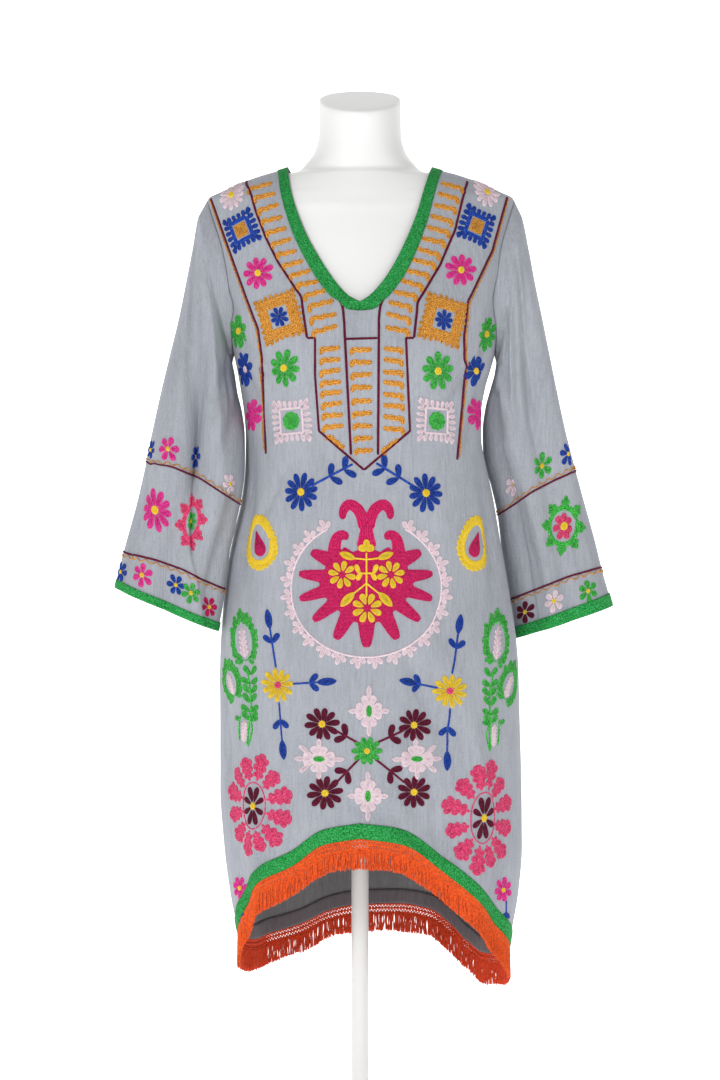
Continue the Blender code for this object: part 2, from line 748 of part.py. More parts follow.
def add_lathe(name, profile, material):
    """A solid of revolution about Z from (radius, height) pairs that start and end on the axis."""
    turn = np.arange(LATHE_STEPS) * 2 * np.pi / LATHE_STEPS
    points = [(0, 0, profile[0][1])]
    for radius, z in profile[1:-1]:
        points += [(radius * np.cos(a), radius * np.sin(a), z) for a in turn]
    points.append((0, 0, profile[-1][1]))
    faces = []
    rings = len(profile) - 2
    for k in range(LATHE_STEPS):
        following = (k + 1) % LATHE_STEPS
        faces.append((0, 1 + following, 1 + k))
        for i in range(rings - 1):
            a, b = 1 + i * LATHE_STEPS, 1 + (i + 1) * LATHE_STEPS
            faces.append((a + k, a + following, b + following, b + k))
        last = 1 + (rings - 1) * LATHE_STEPS
        faces.append((last + k, last + following, len(points) - 1))
    return add_mesh(name, points, faces, material)


def make_material(name, colour, roughness, metallic=0.0):
    material = bpy.data.materials.new(name)
    material.use_nodes = True
    shader = material.node_tree.nodes["Principled BSDF"]
    shader.inputs["Base Color"].default_value = (*colour, 1)
    shader.inputs["Roughness"].default_value = roughness
    shader.inputs["Metallic"].default_value = metallic
    material.diffuse_color = (*colour, 1)
    return material


def add_cloth_panel(name, patch, numbers, back, seams, material):
    """A panel's wall, its armhole rims cut to meet the sleeves'."""
    outer, inner = lifted(patch, 0, back), lifted(patch, -WALL, back)
    for sign in (-1, 1):
        for step in range(ARMHOLE_ROWS + 1):
            place = ARMHOLE_ROWS + step if back else ARMHOLE_ROWS - step
            number = numbers[sign, SKIRT_ROWS + step][0]
            inner[number] = seams[sign].panel_inner[place % (2 * ARMHOLE_ROWS)]
    add_shell(name, outer, on_one_side(inner, back), every_triangle(patch), material)


def hem_line(patch, numbers, distance, back):
    """Points along a panel's lower edge, the cloth's outer face on the right of the way."""
    edge = numbers[-1, 0] + numbers[1, 0][-2::-1]
    return lifted(patch, distance, back)[edge if back else edge[::-1]]


def front_band_triangles(patch):
    """The strip of the front panel along the neck edge, pointed below the V."""
    triangles = []
    for sign in (-1, 1):
        triangles += patch.strips[sign, SKIRT_ROWS + ROWS_BELOW_V - 1][-1:]
        for step in range(ROWS_BELOW_V, ARMHOLE_ROWS):
            triangles += patch.strips[sign, SKIRT_ROWS + step][-2:]
    return triangles


def back_band_triangles(patch):
    """The strip of the back panel along the neck edge, ending on the shoulder seams."""
    triangles = []
    top = SKIRT_ROWS + ARMHOLE_ROWS - 1
    corner = 2 * BACK_SHOULDER_COLUMNS
    for sign in (-1, 1):
        triangles += patch.strips[sign, top - 1][corner - 1 :]
        triangles += patch.strips[sign, top][corner - 2 :]
    return triangles


for old in list(bpy.data.objects):
    bpy.data.objects.remove(old)

cloth = make_material("grey_cotton", (0.33, 0.35, 0.39), 0.9)
green = make_material("green_band", (0.03, 0.33, 0.09), 0.8)
dark = make_material("dark_facing", (0.12, 0.12, 0.15), 0.9)
orange = make_material("orange_fringe", (0.80, 0.08, 0.01), 0.8)
form_skin = make_material("form_skin", (0.83, 0.83, 0.81), 0.45)
stand_paint = make_material("stand_paint", (0.80, 0.80, 0.79), 0.35, 0.2)

seams = {sign: armhole_seam(sign) for sign in (-1, 1)}
for back, side in ((False, "front"), (True, "back")):
    panel, numbers = make_panel(back)
    add_cloth_panel(f"{side}_panel", panel, numbers, back, seams, cloth)
    neck_strip = back_band_triangles(panel) if back else front_band_triangles(panel)
    add_trim(f"neck_band_{side}", panel, neck_strip, green, back)
    hem_strip = panel.strips[-1, 0] + panel.strips[1, 0]
    add_trim(f"hem_band_{side}", panel, hem_strip, green, back)
    if back:
        add_trim("hem_facing_back", panel, hem_strip, dark, back, inside=True)
    outer_line = hem_line(panel, numbers, HEADER_SWELL, back)
    inner_line = hem_line(panel, numbers, -WALL, back)
    strands = BACK_STRANDS if back else FRONT_STRANDS
    add_fringe(f"fringe_{side}", outer_line, inner_line, strands, orange)

for sign, side in ((-1, "left"), (1, "right")):
    sleeve = make_sleeve(sign)
    outer, inner = lifted(sleeve, 0), lifted(sleeve, -WALL)
    rim = 2 * ARMHOLE_ROWS
    outer[:rim], inner[:rim] = seams[sign].sleeve_outer, seams[sign].sleeve_inner
    add_shell(f"{side}_sleeve", outer, inner, every_triangle(sleeve), cloth)
    last_strip = sleeve.strips[len(sleeve.strips) - 1]
    add_trim(f"{side}_cuff_band", sleeve, last_strip, green)

add_dress_form(form_skin)

form_bottom = FORM_BODY[0].z
pole_top = form_bottom - SEAM_GAP
add_lathe(
    "stand_pole",
    [
        (0, SOCKET_FLOOR + SEAM_GAP),
        (POLE_RADIUS, SOCKET_FLOOR + SEAM_GAP),
        (POLE_RADIUS, pole_top - FLANGE_THICK),
        (FLANGE_RADIUS, pole_top - FLANGE_THICK),
        (FLANGE_RADIUS, pole_top),
        (0, pole_top),
    ],
    stand_paint,
)
add_lathe(
    "stand_foot",
    [
        (0, 0),
        (FOOT_RADIUS - FOOT_CHAMFER, 0),
        (FOOT_RADIUS, FOOT_CHAMFER),
        (FOOT_RADIUS, FOOT_THICK - FOOT_CHAMFER),
        (FOOT_RADIUS - FOOT_CHAMFER, FOOT_THICK),
        (BOSS_RADIUS, FOOT_THICK),
        (BOSS_RADIUS, BOSS_TOP),
        (POLE_RADIUS + SEAM_GAP, BOSS_TOP),
        (POLE_RADIUS + SEAM_GAP, SOCKET_FLOOR),
        (0, SOCKET_FLOOR),
    ],
    stand_paint,
)
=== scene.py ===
"""Looks of the embroidered cotton tunic on its dress form.

The frame gives the size and place of every part. The cloth, bands and dress form are laid out
here again from the same sections, with finer grids, and the embroidery is raised stitching laid
on that cloth. Metres, +Z up, the front faces -Y; left and right are the viewer's.
"""

import json
from typing import NamedTuple

import bpy
import numpy as np
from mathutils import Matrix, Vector

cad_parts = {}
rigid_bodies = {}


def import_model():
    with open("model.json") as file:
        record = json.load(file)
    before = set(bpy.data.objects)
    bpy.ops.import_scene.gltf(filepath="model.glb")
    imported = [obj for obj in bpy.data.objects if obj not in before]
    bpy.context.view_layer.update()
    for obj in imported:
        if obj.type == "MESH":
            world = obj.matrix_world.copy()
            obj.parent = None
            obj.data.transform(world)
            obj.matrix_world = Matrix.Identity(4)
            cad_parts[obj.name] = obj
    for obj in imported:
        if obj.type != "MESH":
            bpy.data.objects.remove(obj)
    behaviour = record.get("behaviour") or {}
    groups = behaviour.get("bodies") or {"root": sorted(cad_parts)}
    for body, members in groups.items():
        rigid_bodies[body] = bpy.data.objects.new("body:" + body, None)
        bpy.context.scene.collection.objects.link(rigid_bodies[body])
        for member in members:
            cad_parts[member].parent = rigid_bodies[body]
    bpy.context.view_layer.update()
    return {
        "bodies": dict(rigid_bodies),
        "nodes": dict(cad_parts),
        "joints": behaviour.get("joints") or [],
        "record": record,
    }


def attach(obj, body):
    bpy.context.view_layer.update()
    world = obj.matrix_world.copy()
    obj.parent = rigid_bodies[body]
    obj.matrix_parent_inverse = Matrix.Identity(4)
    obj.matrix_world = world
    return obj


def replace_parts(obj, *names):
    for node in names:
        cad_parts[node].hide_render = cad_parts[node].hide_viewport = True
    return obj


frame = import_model()
bpy.context.scene.view_settings.view_transform = "Standard"

# Photograph and camera: level, square on to the front
PHOTO_WIDTH = 720
PHOTO_HEIGHT = 1080
METRES_PER_PIXEL = 0.00128
CAMERA_DISTANCE = 3.5
CAMERA_HEIGHT = 0.824
SENSOR = 36.0

# Cloth
WALL = 0.0011
SEAM_GAP = 0.00034
ARMHOLE_GAP = 0.0006
TRIM_GAP = 0.0002
TRIM_WALL = 0.0014
NECK_BAND_WIDTH = 0.014
HEM_BAND_WIDTH = 0.019
CUFF_BAND_SHARE = 0.36

# Landmarks of the garment
UNDERARM_Z = 1.060
SHOULDER_TIP_Z = 1.259
NECK_POINT_Z = 1.300
V_POINT_Z = 1.1190
V_BAND_DROP = 0.011
BACK_NECK_DROP = 0.032
BACK_NECK_POWER = 2.6
FRONT_SCOOP = 0.40
BACK_SCOOP = 0.31
SCOOP_POWER = 0.55
ARMHOLE_LEVELS = 11
LEVELS_BELOW_V = 4
BAND_STATIONS = [0, 0.04, 0.12, 0.45, 1]
BAND_SHARES = [0.092, 0.084, 0.086, 0.096, 0.126]
BACK_BAND_SHARE = 0.065
BACK_CORNER_SHARE = 7 / 12
BACK_CORNER_BAND = 1 / 12

# Fineness of the cloth grids
PANEL_COLUMNS = 54
BAND_COLUMNS = 6
BACK_COLUMNS = 72
ROWS_PER_LEVEL = 6
SKIRT_ROWS = 104
HEM_BAND_ROWS = 6
SLEEVE_ROWS = 90
RIDGE_SAMPLES = 60

# Dress form
FORM_RING = 96
FRONT_SLACK = 0.0025
BACK_SLACK = 0.0052

# Fringe
HEADER_HEIGHT = 0.0135
STRAND_LENGTH = 0.0225
STRAND_SPACING = 0.00118
YARN_RADIUS = 0.00078
CORD_RADIUS = 0.0013
CORD_DROPS = [0.0010, 0.0062, 0.0118]
LOOP_SPACING = 0.0021
LOOP_RADIUS = 0.00088
DOWN = np.array([0, 0, -1])

# Stitching: spacing of the rows, length of a stitch, height of the thread, fineness of the
# stitched shapes and of the flat map, and longest step between photo pixels on a route
STITCH_ROW = 0.0017
STITCH_LENGTH = 0.0026
THREAD_LIFT = 0.0011
GRID_STEP = 0.0014
MAP_STEP = 0.002
TILT_STEP = 0.0015
ROUTE_PIXELS = 9
EDGE_ROLL = 0.0011
CREASE_STRENGTH = 2.2

QUARTER = np.pi / 2


class Section(NamedTuple):
    """A level section of the worn tunic: how far it reaches each way, and how square it is."""

    z: float
    left: float
    right: float
    front: float
    back: float
    power: float


BODY = [
    Section(0.240, 0.146, 0.184, 0.116, 0.122, 2.3),
    Section(0.312, 0.154, 0.192, 0.119, 0.126, 2.3),
    Section(0.371, 0.166, 0.203, 0.121, 0.128, 2.3),
    Section(0.432, 0.1745, 0.2085, 0.123, 0.130, 2.3),
    Section(0.509, 0.1800, 0.208, 0.124, 0.132, 2.3),
    Section(0.586, 0.1800, 0.206, 0.124, 0.133, 2.3),
    Section(0.663, 0.179, 0.2035, 0.122, 0.132, 2.3),
    Section(0.724, 0.176, 0.196, 0.119, 0.128, 2.3),
    Section(0.785, 0.170, 0.186, 0.115, 0.121, 2.3),
    Section(0.831, 0.1615, 0.178, 0.112, 0.114, 2.3),
    Section(0.878, 0.151, 0.170, 0.109, 0.107, 2.3),
    Section(0.924, 0.1465, 0.160, 0.107, 0.102, 2.3),
    Section(0.954, 0.146, 0.155, 0.108, 0.100, 2.3),
    Section(0.985, 0.148, 0.155, 0.114, 0.101, 2.3),
    Section(1.016, 0.1525, 0.1595, 0.121, 0.103, 2.3),
    Section(1.039, 0.1565, 0.166, 0.1245, 0.106, 2.3),
    Section(1.060, 0.161, 0.172, 0.1255, 0.108, 2.3),
    Section(1.100, 0.170, 0.179, 0.121, 0.111, 2.3),
    Section(1.150, 0.179, 0.186, 0.108, 0.112, 2.25),
    Section(1.200, 0.187, 0.191, 0.094, 0.108, 2.15),
    Section(1.235, 0.193, 0.1955, 0.083, 0.100, 2.0),
    Section(1.259, 0.195, 0.197, 0.074, 0.090, 1.85),
    Section(1.270, 0.176, 0.178, 0.070, 0.084, 1.75),
    Section(1.280, 0.154, 0.156, 0.066, 0.078, 1.7),
    Section(1.290, 0.126, 0.128, 0.062, 0.071, 1.65),
    Section(1.300, 0.092, 0.092, 0.058, 0.064, 1.65),
    Section(1.310, 0.078, 0.078, 0.056, 0.061, 1.7),
]


class Form(NamedTuple):
    """A section of the dress form, its level taken at the axis, tilted forward by a slope."""

    z: float
    half: float
    front: float
    back: float
    power: float
    slope: float


FORM_BODY = [
    Form(0.604, 0.120, 0.066, 0.082, 2.2, 0),
    Form(0.609, 0.148, 0.086, 0.104, 2.2, 0),
    Form(0.625, 0.160, 0.095, 0.114, 2.2, 0),
    Form(0.665, 0.167, 0.101, 0.121, 2.2, 0),
    Form(0.720, 0.166, 0.102, 0.119, 2.2, 0),
    Form(0.785, 0.156, 0.099, 0.109, 2.2, 0),
    Form(0.831, 0.145, 0.096, 0.099, 2.2, 0),
    Form(0.878, 0.130, 0.092, 0.090, 2.2, 0),
    Form(0.924, 0.121, 0.091, 0.086, 2.2, 0),
    Form(0.954, 0.122, 0.095, 0.087, 2.2, 0),
    Form(0.985, 0.128, 0.103, 0.090, 2.2, 0),
    Form(1.016, 0.137, 0.112, 0.094, 2.2, 0),
    Form(1.060, 0.148, 0.118, 0.100, 2.2, 0),
    Form(1.100, 0.154, 0.114, 0.104, 2.2, 0),
    Form(1.150, 0.162, 0.102, 0.106, 2.2, 0),
    Form(1.200, 0.173, 0.089, 0.103, 2.1, 0),
    Form(1.232, 0.184, 0.079, 0.096, 2.0, 0),
]
SHOULDER_LEVELS = [1.247, 1.256, 1.263, 1.270, 1.277, 1.284, 1.290]
FORM_NECK = [
    Form(1.2955, 0.079, 0.0545, 0.0510, 1.7, 0),
    Form(1.306, 0.0685, 0.0555, 0.0510, 1.8, 0.05),
    Form(1.321, 0.0580, 0.0568, 0.0520, 1.95, 0.13),
    Form(1.344, 0.0528, 0.0590, 0.0480, 2.0, 0.25),
    Form(1.386, 0.0524, 0.0655, 0.0420, 2.0, 0.40),
]


class HemLevel(NamedTuple):
    """Height of the hem at an angle from the middle of a panel towards each side seam."""

    angle: float
    left_z: float
    right_z: float


FRONT_HEM = [
    HemLevel(0, 0.455, 0.455),
    HemLevel(12, 0.447, 0.447),
    HemLevel(26, 0.420, 0.415),
    HemLevel(45, 0.396, 0.369),
    HemLevel(60, 0.366, 0.340),
    HemLevel(75, 0.336, 0.318),
    HemLevel(90, 0.318, 0.303),
]
BACK_HEM = [
    HemLevel(0, 0.341, 0.341),
    HemLevel(14, 0.332, 0.343),
    HemLevel(25, 0.321, 0.338),
    HemLevel(34, 0.314, 0.320),
    HemLevel(43, 0.309, 0.298),
    HemLevel(58, 0.304, 0.286),
    HemLevel(75, 0.308, 0.289),
    HemLevel(90, 0.318, 0.303),
]


class Edge(NamedTuple):
    """How far the front neck opening reaches to either side at a height."""

    z: float
    left: float
    right: float


NECK_EDGE = [
    Edge(V_POINT_Z, 0, 0),
    Edge(1.1232, 0.0088, 0.0074),
    Edge(1.1269, 0.0148, 0.0124),
    Edge(1.1359, 0.0235, 0.0208),
    Edge(1.1525, 0.0360, 0.0334),
    Edge(1.1769, 0.0515, 0.0472),
    Edge(1.2103, 0.0690, 0.0623),
    Edge(1.2362, 0.0790, 0.0720),
    Edge(1.2623, 0.0865, 0.0795),
    Edge(1.2860, 0.0905, 0.0870),
    Edge(NECK_POINT_Z, 0.0920, 0.0920),
]


class Fold(NamedTuple):
    """A soft trough, or a ridge where the depth is below 0, down the body wall.

    The angles are degrees round the body from centre front, positive to the right.
    """

    top_angle: float
    low_angle: float
    top_z: float
    low_z: float
    width: float
    depth: float


BODY_FOLDS = [
    Fold(14, 27, 0.73, 0.40, 9, 0.0055),
    Fold(24, 40, 0.70, 0.38, 9, -0.0045),
    Fold(-30, -20, 0.62, 0.40, 9, 0.0050),
    Fold(-46, -40, 0.66, 0.33, 9, -0.0040),
    Fold(-62, -58, 0.60, 0.28, 9, 0.0060),
    Fold(60, 57, 0.64, 0.28, 9, 0.0050),
    Fold(112, 116, 0.80, 0.28, 11, 0.0060),
    Fold(136, 138, 0.78, 0.28, 11, -0.0060),
    Fold(160, 158, 0.84, 0.28, 11, 0.0065),
    Fold(-178, -176, 0.80, 0.28, 11, -0.0060),
    Fold(-156, -154, 0.82, 0.28, 11, 0.0060),
    Fold(-130, -133, 0.76, 0.28, 11, -0.0055),
    Fold(-108, -110, 0.80, 0.28, 10, 0.0055),
]


class Ring(NamedTuple):
    """A sleeve ring: its outer and inner ends seen from the front, and its depth in Y."""

    outer_x: float
    outer_z: float
    inner_x: float
    inner_z: float
    middle_y: float
    depth: float


LEFT_SLEEVE = [
    Ring(0.1950, 1.259, 0.1610, 1.060, 0.000, 0.052),
    Ring(0.2065, 1.238, 0.1632, 1.051, -0.001, 0.046),
    Ring(0.2140, 1.196, 0.1600, 1.034, -0.003, 0.052),
    Ring(0.2225, 1.150, 0.1565, 1.012, -0.007, 0.055),
    Ring(0.2315, 1.103, 0.1500, 0.985, -0.015, 0.053),
    Ring(0.2420, 1.056, 0.1462, 0.955, -0.027, 0.050),
    Ring(0.2525, 1.009, 0.1456, 0.921, -0.036, 0.048),
    Ring(0.2624, 0.962, 0.1488, 0.884, -0.041, 0.047),
    Ring(0.2716, 0.915, 0.1565, 0.845, -0.045, 0.047),
    Ring(0.2826, 0.868, 0.1650, 0.806, -0.043, 0.047),
    Ring(0.2935, 0.828, 0.1695, 0.771, -0.044, 0.048),
    Ring(0.3025, 0.794, 0.1735, 0.739, -0.044, 0.049),
    Ring(0.3090, 0.764, 0.1795, 0.709, -0.044, 0.050),
]
RIGHT_SLEEVE = [
    Ring(0.1970, 1.259, 0.1720, 1.060, 0.000, 0.052),
    Ring(0.2070, 1.238, 0.1745, 1.051, 0.001, 0.046),
    Ring(0.2160, 1.196, 0.1725, 1.036, 0.003, 0.052),
    Ring(0.2250, 1.150, 0.1670, 1.016, 0.008, 0.055),
    Ring(0.2355, 1.103, 0.1610, 0.992, 0.016, 0.053),
    Ring(0.2455, 1.056, 0.1580, 0.964, 0.023, 0.050),
    Ring(0.2555, 1.009, 0.1592, 0.930, 0.028, 0.048),
    Ring(0.2660, 0.962, 0.1695, 0.893, 0.032, 0.047),
    Ring(0.2785, 0.915, 0.1780, 0.855, 0.036, 0.047),
    Ring(0.2915, 0.868, 0.1830, 0.815, 0.040, 0.047),
    Ring(0.3035, 0.826, 0.1895, 0.777, 0.043, 0.048),
    Ring(0.3140, 0.784, 0.1955, 0.737, 0.044, 0.049),
    Ring(0.3270, 0.739, 0.2020, 0.697, 0.046, 0.050),
]


class SleeveFold(NamedTuple):
    """A trough or ridge along a sleeve, at degrees from its outer line towards the front."""

    top_angle: float
    low_angle: float
    start: float
    width: float
    depth: float


LEFT_SLEEVE_FOLDS = [
    SleeveFold(72, 92, 0.14, 16, 0.0130),
    SleeveFold(44, 58, 0.10, 16, -0.0050),
    SleeveFold(126, 124, 0.30, 17, -0.0040),
    SleeveFold(250, 255, 0.20, 19, 0.0080),
    SleeveFold(300, 296, 0.20, 19, -0.0040),
]
RIGHT_SLEEVE_FOLDS = [
    SleeveFold(70, 80, 0.12, 15, 0.0085),
    SleeveFold(108, 104, 0.16, 16, -0.0045),
    SleeveFold(140, 134, 0.22, 15, 0.0075),
    SleeveFold(255, 250, 0.20, 19, 0.0080),
    SleeveFold(300, 304, 0.20, 19, -0.0040),
]


class Crease(NamedTuple):
    """A short soft trough, or a ridge below 0, that fades at both ends.

    The angles are degrees round the body from centre front, positive to the right.
    """

    top_angle: float
    low_angle: float
    top_z: float
    low_z: float
    width: float
    depth: float
    trail: float = 1


BODY_CREASES = [
    Crease(-66, -34, 1.078, 1.000, 3.5, 0.0026, 2),
    Crease(-72, -50, 1.060, 0.945, 3, 0.0026, 2),
    Crease(-74, -60, 1.150, 1.060, 5, 0.0024),
    Crease(66, 40, 1.080, 0.985, 3.5, 0.0028, 2),
    Crease(74, 54, 1.060, 0.930, 3, 0.0028, 2),
    Crease(12.7, 26, 0.690, 0.575, 2.4, 0.0034, 3),
    Crease(26, 27, 0.610, 0.515, 2.6, 0.0030, 2),
    Crease(22, 27, 0.540, 0.420, 2.4, 0.0036, 3),
    Crease(7, 24, 0.476, 0.428, 3, 0.0026),
    Crease(17, 14, 0.640, 0.540, 2.4, 0.0026, 2),
    Crease(-40, -47, 0.455, 0.405, 2.6, 0.0030, 2),
    Crease(-70, -66, 0.640, 0.480, 2.6, 0.0028, 3),
    Crease(-33, -52, 0.930, 0.840, 3, 0.0018),
    Crease(70, 62, 1.160, 1.050, 5, 0.0026),
    Crease(-70, -58, 0.960, 0.760, 6, 0.0030),
    Crease(70, 60, 0.940, 0.720, 6, 0.0032),
    Crease(20, 34, 0.880, 0.640, 5, 0.0024),
    Crease(38, 28, 0.640, 0.420, 4, 0.0030),
    Crease(8, 24, 0.560, 0.440, 4, 0.0026),
    Crease(-6, 18, 0.520, 0.450, 5, 0.0028),
    Crease(30, 52, 0.700, 0.430, 4, -0.0026),
    Crease(-26, -34, 0.860, 0.560, 5, 0.0022),
    Crease(-14, -24, 0.540, 0.430, 5, -0.0024),
    Crease(-50, -38, 0.720, 0.440, 5, 0.0026),
    Crease(-84, -80, 0.640, 0.330, 6, 0.0030),
    Crease(84, 82, 0.700, 0.320, 6, 0.0030),
    Crease(104, 140, 1.080, 0.960, 6, 0.0034),
    Crease(-104, -138, 1.085, 0.950, 6, 0.0034),
    Crease(112, 150, 1.020, 0.900, 6, 0.0028),
    Crease(-110, -150, 1.010, 0.890, 6, 0.0028),
    Crease(172, 170, 1.000, 0.760, 7, 0.0026),
    Crease(-168, -172, 0.980, 0.700, 7, -0.0024),
    Crease(146, 150, 0.700, 0.360, 5, 0.0030),
    Crease(-144, -146, 0.720, 0.360, 5, 0.0030),
    Crease(168, 174, 0.640, 0.380, 5, -0.0026),
    Crease(-120, -122, 0.700, 0.340, 5, -0.0024),
]


class SleeveCrease(NamedTuple):
    """A short crease along a sleeve, at degrees from its outer line towards the front."""

    top_angle: float
    low_angle: float
    start: float
    end: float
    width: float
    depth: float
    trail: float = 1


LEFT_SLEEVE_CREASES = [
    SleeveCrease(14, 148, 0.08, 1.04, 3.5, 0.0058, 7),
    SleeveCrease(60, 98, 0.30, 0.80, 4, 0.0030, 3),
    SleeveCrease(96, 122, 0.16, 0.60, 7, -0.0020),
    SleeveCrease(140, 132, 0.12, 0.46, 6, 0.0034),
    SleeveCrease(150, 100, 0.16, 0.42, 13, 0.0045),
    SleeveCrease(170, 118, 0.24, 0.52, 11, 0.0040),
    SleeveCrease(30, 52, 0.22, 0.60, 11, 0.0030),
    SleeveCrease(60, 72, 0.20, 0.48, 8, -0.0028),
    SleeveCrease(105, 112, 0.50, 0.98, 9, 0.0035),
    SleeveCrease(150, 142, 0.55, 0.98, 11, 0.0040),
    SleeveCrease(22, 30, 0.60, 1.00, 11, 0.0030),
    SleeveCrease(205, 250, 0.16, 0.46, 13, 0.0050),
    SleeveCrease(220, 232, 0.45, 0.98, 11, 0.0040),
    SleeveCrease(280, 276, 0.30, 0.90, 10, -0.0035),
    SleeveCrease(325, 320, 0.40, 0.98, 11, 0.0035),
]
RIGHT_SLEEVE_CREASES = [
    SleeveCrease(64, 72, 0.06, 0.62, 4, 0.0044, 3),
    SleeveCrease(112, 106, 0.08, 0.50, 4, 0.0040, 3),
    SleeveCrease(134, 128, 0.30, 0.98, 5, 0.0034),
    SleeveCrease(155, 104, 0.14, 0.40, 12, 0.0050),
    SleeveCrease(168, 122, 0.20, 0.50, 11, 0.0045),
    SleeveCrease(50, 62, 0.10, 0.50, 9, 0.0040),
    SleeveCrease(88, 96, 0.10, 0.55, 8, 0.0040),
    SleeveCrease(30, 40, 0.30, 0.75, 11, -0.0030),
    SleeveCrease(50, 56, 0.62, 0.99, 9, 0.0030),
    SleeveCrease(120, 112, 0.60, 0.99, 10, 0.0036),
    SleeveCrease(205, 248, 0.16, 0.46, 13, 0.0050),
    SleeveCrease(224, 228, 0.45, 0.98, 11, 0.0040),
    SleeveCrease(284, 280, 0.30, 0.90, 10, -0.0035),
    SleeveCrease(322, 326, 0.40, 0.98, 11, 0.0035),
]


def column(rows, name):
    return np.array([getattr(row, name) for row in rows], dtype=float)


def smooth(at, stations, values):
    """Cubic interpolation that never swings past its stations, held level beyond them."""
    at = np.clip(at, stations[0], stations[-1])
    steps = np.diff(values) / np.diff(stations)
    before, after = steps[:-1], steps[1:]
    total = np.where(before * after > 0, before + after, 1)
    bend = np.where(before * after > 0, 2 * before * after / total, 0)
    slopes = np.concatenate([steps[:1], bend, steps[-1:]])
    k = np.clip(np.searchsorted(stations, at, side="right") - 1, 0, len(stations) - 2)
    width = stations[k + 1] - stations[k]
    f = (at - stations[k]) / width
    low = (1 + 2 * f) * (1 - f) ** 2 * values[k] + f * (1 - f) ** 2 * width * slopes[k]
    high = f * f * (3 - 2 * f) * values[k + 1] + f * f * (f - 1) * width * slopes[k + 1]
    return low + high


def along(rows, name, at, station="z"):
    return smooth(at, column(rows, station), column(rows, name))


def ease(f):
    f = np.clip(f, 0, 1)
    return f * f * (3 - 2 * f)


def unit(vectors):
    return vectors / np.linalg.norm(vectors, axis=-1, keepdims=True)


def distances(points):
    """How far along a line each of its points lies."""
    return np.concatenate([[0], np.cumsum(np.linalg.norm(np.diff(points, axis=0), axis=1))])


def at_distances(at, run, values):
    """Values along a line at distances, read between its points."""
    return np.stack([np.interp(at, run, part) for part in values.T], axis=-1)


def trough(degrees, fold, share, trail=1):
    """How near an angle lies to the middle of a fold that leans along its length, from 1 to 0."""
    middle = fold.top_angle + (fold.low_angle - fold.top_angle) * share
    off = (degrees - middle + 180) % 360 - 180
    return np.exp(-((off / np.where(off > 0, fold.width * trail, fold.width)) ** 2))


def crease_depth(degrees, crease, share):
    """Depth of a crease that starts and ends softly along its length."""
    inside = np.sin(np.pi * np.clip(share, 0, 1)) ** 0.8
    return CREASE_STRENGTH * crease.depth * inside * trough(degrees, crease, share, crease.trail)


def fold_depth(angle, z):
    """How far the body wall lies inwards of its plain section."""
    degrees = np.degrees(angle)
    total = np.zeros(angle.shape)
    for fold in BODY_FOLDS:
        down = (fold.top_z - z) / (fold.top_z - fold.low_z)
        total = total + fold.depth * ease(down * 1.6) * trough(degrees, fold, down)
    for crease in BODY_CREASES:
        down = (crease.top_z - z) / (crease.top_z - crease.low_z)
        total = total + crease_depth(degrees, crease, down)
    return total


def body_reach(sign, z):
    return along(BODY, "left" if sign < 0 else "right", z)


def body_point(angle, z):
    """A point of the garment's outer surface, at an angle from centre front."""
    angle, z = np.broadcast_arrays(np.asarray(angle, float), np.asarray(z, float))
    sine, cosine = np.sin(angle), np.cos(angle)
    reach_x = np.where(sine < 0, body_reach(-1, z), body_reach(1, z))
    reach_y = np.where(cosine > 0, along(BODY, "front", z), along(BODY, "back", z))
    share = 2 / along(BODY, "power", z)
    depth = fold_depth(angle, z)
    x = reach_x * np.sign(sine) * np.abs(sine) ** share - sine * depth
    y = -reach_y * np.sign(cosine) * np.abs(cosine) ** share + cosine * depth
    return np.stack([x, y, z], axis=-1)


def body_normal(angle, z):
    """Outward direction of the garment's surface."""
    turn, rise = 0.01, 0.001
    round_body = body_point(angle + turn, z) - body_point(angle - turn, z)
    upward = body_point(angle, z + rise) - body_point(angle, z - rise)
    return unit(np.cross(round_body, upward))


def hem_z(angle, back):
    """Height of the cloth's lower edge at an angle round the body."""
    table = BACK_HEM if back else FRONT_HEM
    away = np.degrees(np.abs(angle))
    away = 180 - away if back else away
    left = along(table, "left_z", away, "angle")
    right = along(table, "right_z", away, "angle")
    return np.where(angle < 0, left, right)


def armhole_edge(sign, back, share):
    """(angle, height) of the armhole at a share of its height above the underarm."""
    scoop = (BACK_SCOOP if back else FRONT_SCOOP) * np.sin(np.pi * share) ** SCOOP_POWER
    angle = sign * (QUARTER + scoop) if back else sign * (QUARTER - scoop)
    return angle, UNDERARM_Z + (SHOULDER_TIP_Z - UNDERARM_Z) * share


def ridge_z(sign, x):
    """Height of the shoulder seam at a distance from the middle."""
    levels = np.linspace(NECK_POINT_Z, SHOULDER_TIP_Z, RIDGE_SAMPLES)
    return np.interp(x, body_reach(sign, levels), levels)


def front_top(sign, c):
    """(x, z) of the front shoulder seam, from the shoulder tip at 0 to the neck point at 1."""
    tip, neck = body_reach(sign, SHOULDER_TIP_Z), body_reach(sign, NECK_POINT_Z)
    x = tip + (neck - tip) * c
    return x, ridge_z(sign, x)


def back_top(sign, c):
    """(x, z) of the back shoulder seam and neck edge, from the tip at 0 to the middle at 1."""
    tip, neck = body_reach(sign, SHOULDER_TIP_Z), body_reach(sign, NECK_POINT_Z)
    corner = BACK_CORNER_SHARE
    stations = [0, corner - BACK_CORNER_BAND, corner, 1]
    x = np.interp(c, stations, [tip, neck + NECK_BAND_WIDTH, neck, 0])
    low = NECK_POINT_Z - BACK_NECK_DROP
    curve = low + BACK_NECK_DROP * np.minimum(x / neck, 1) ** BACK_NECK_POWER
    return x, np.where(c > corner, curve, ridge_z(sign, x))


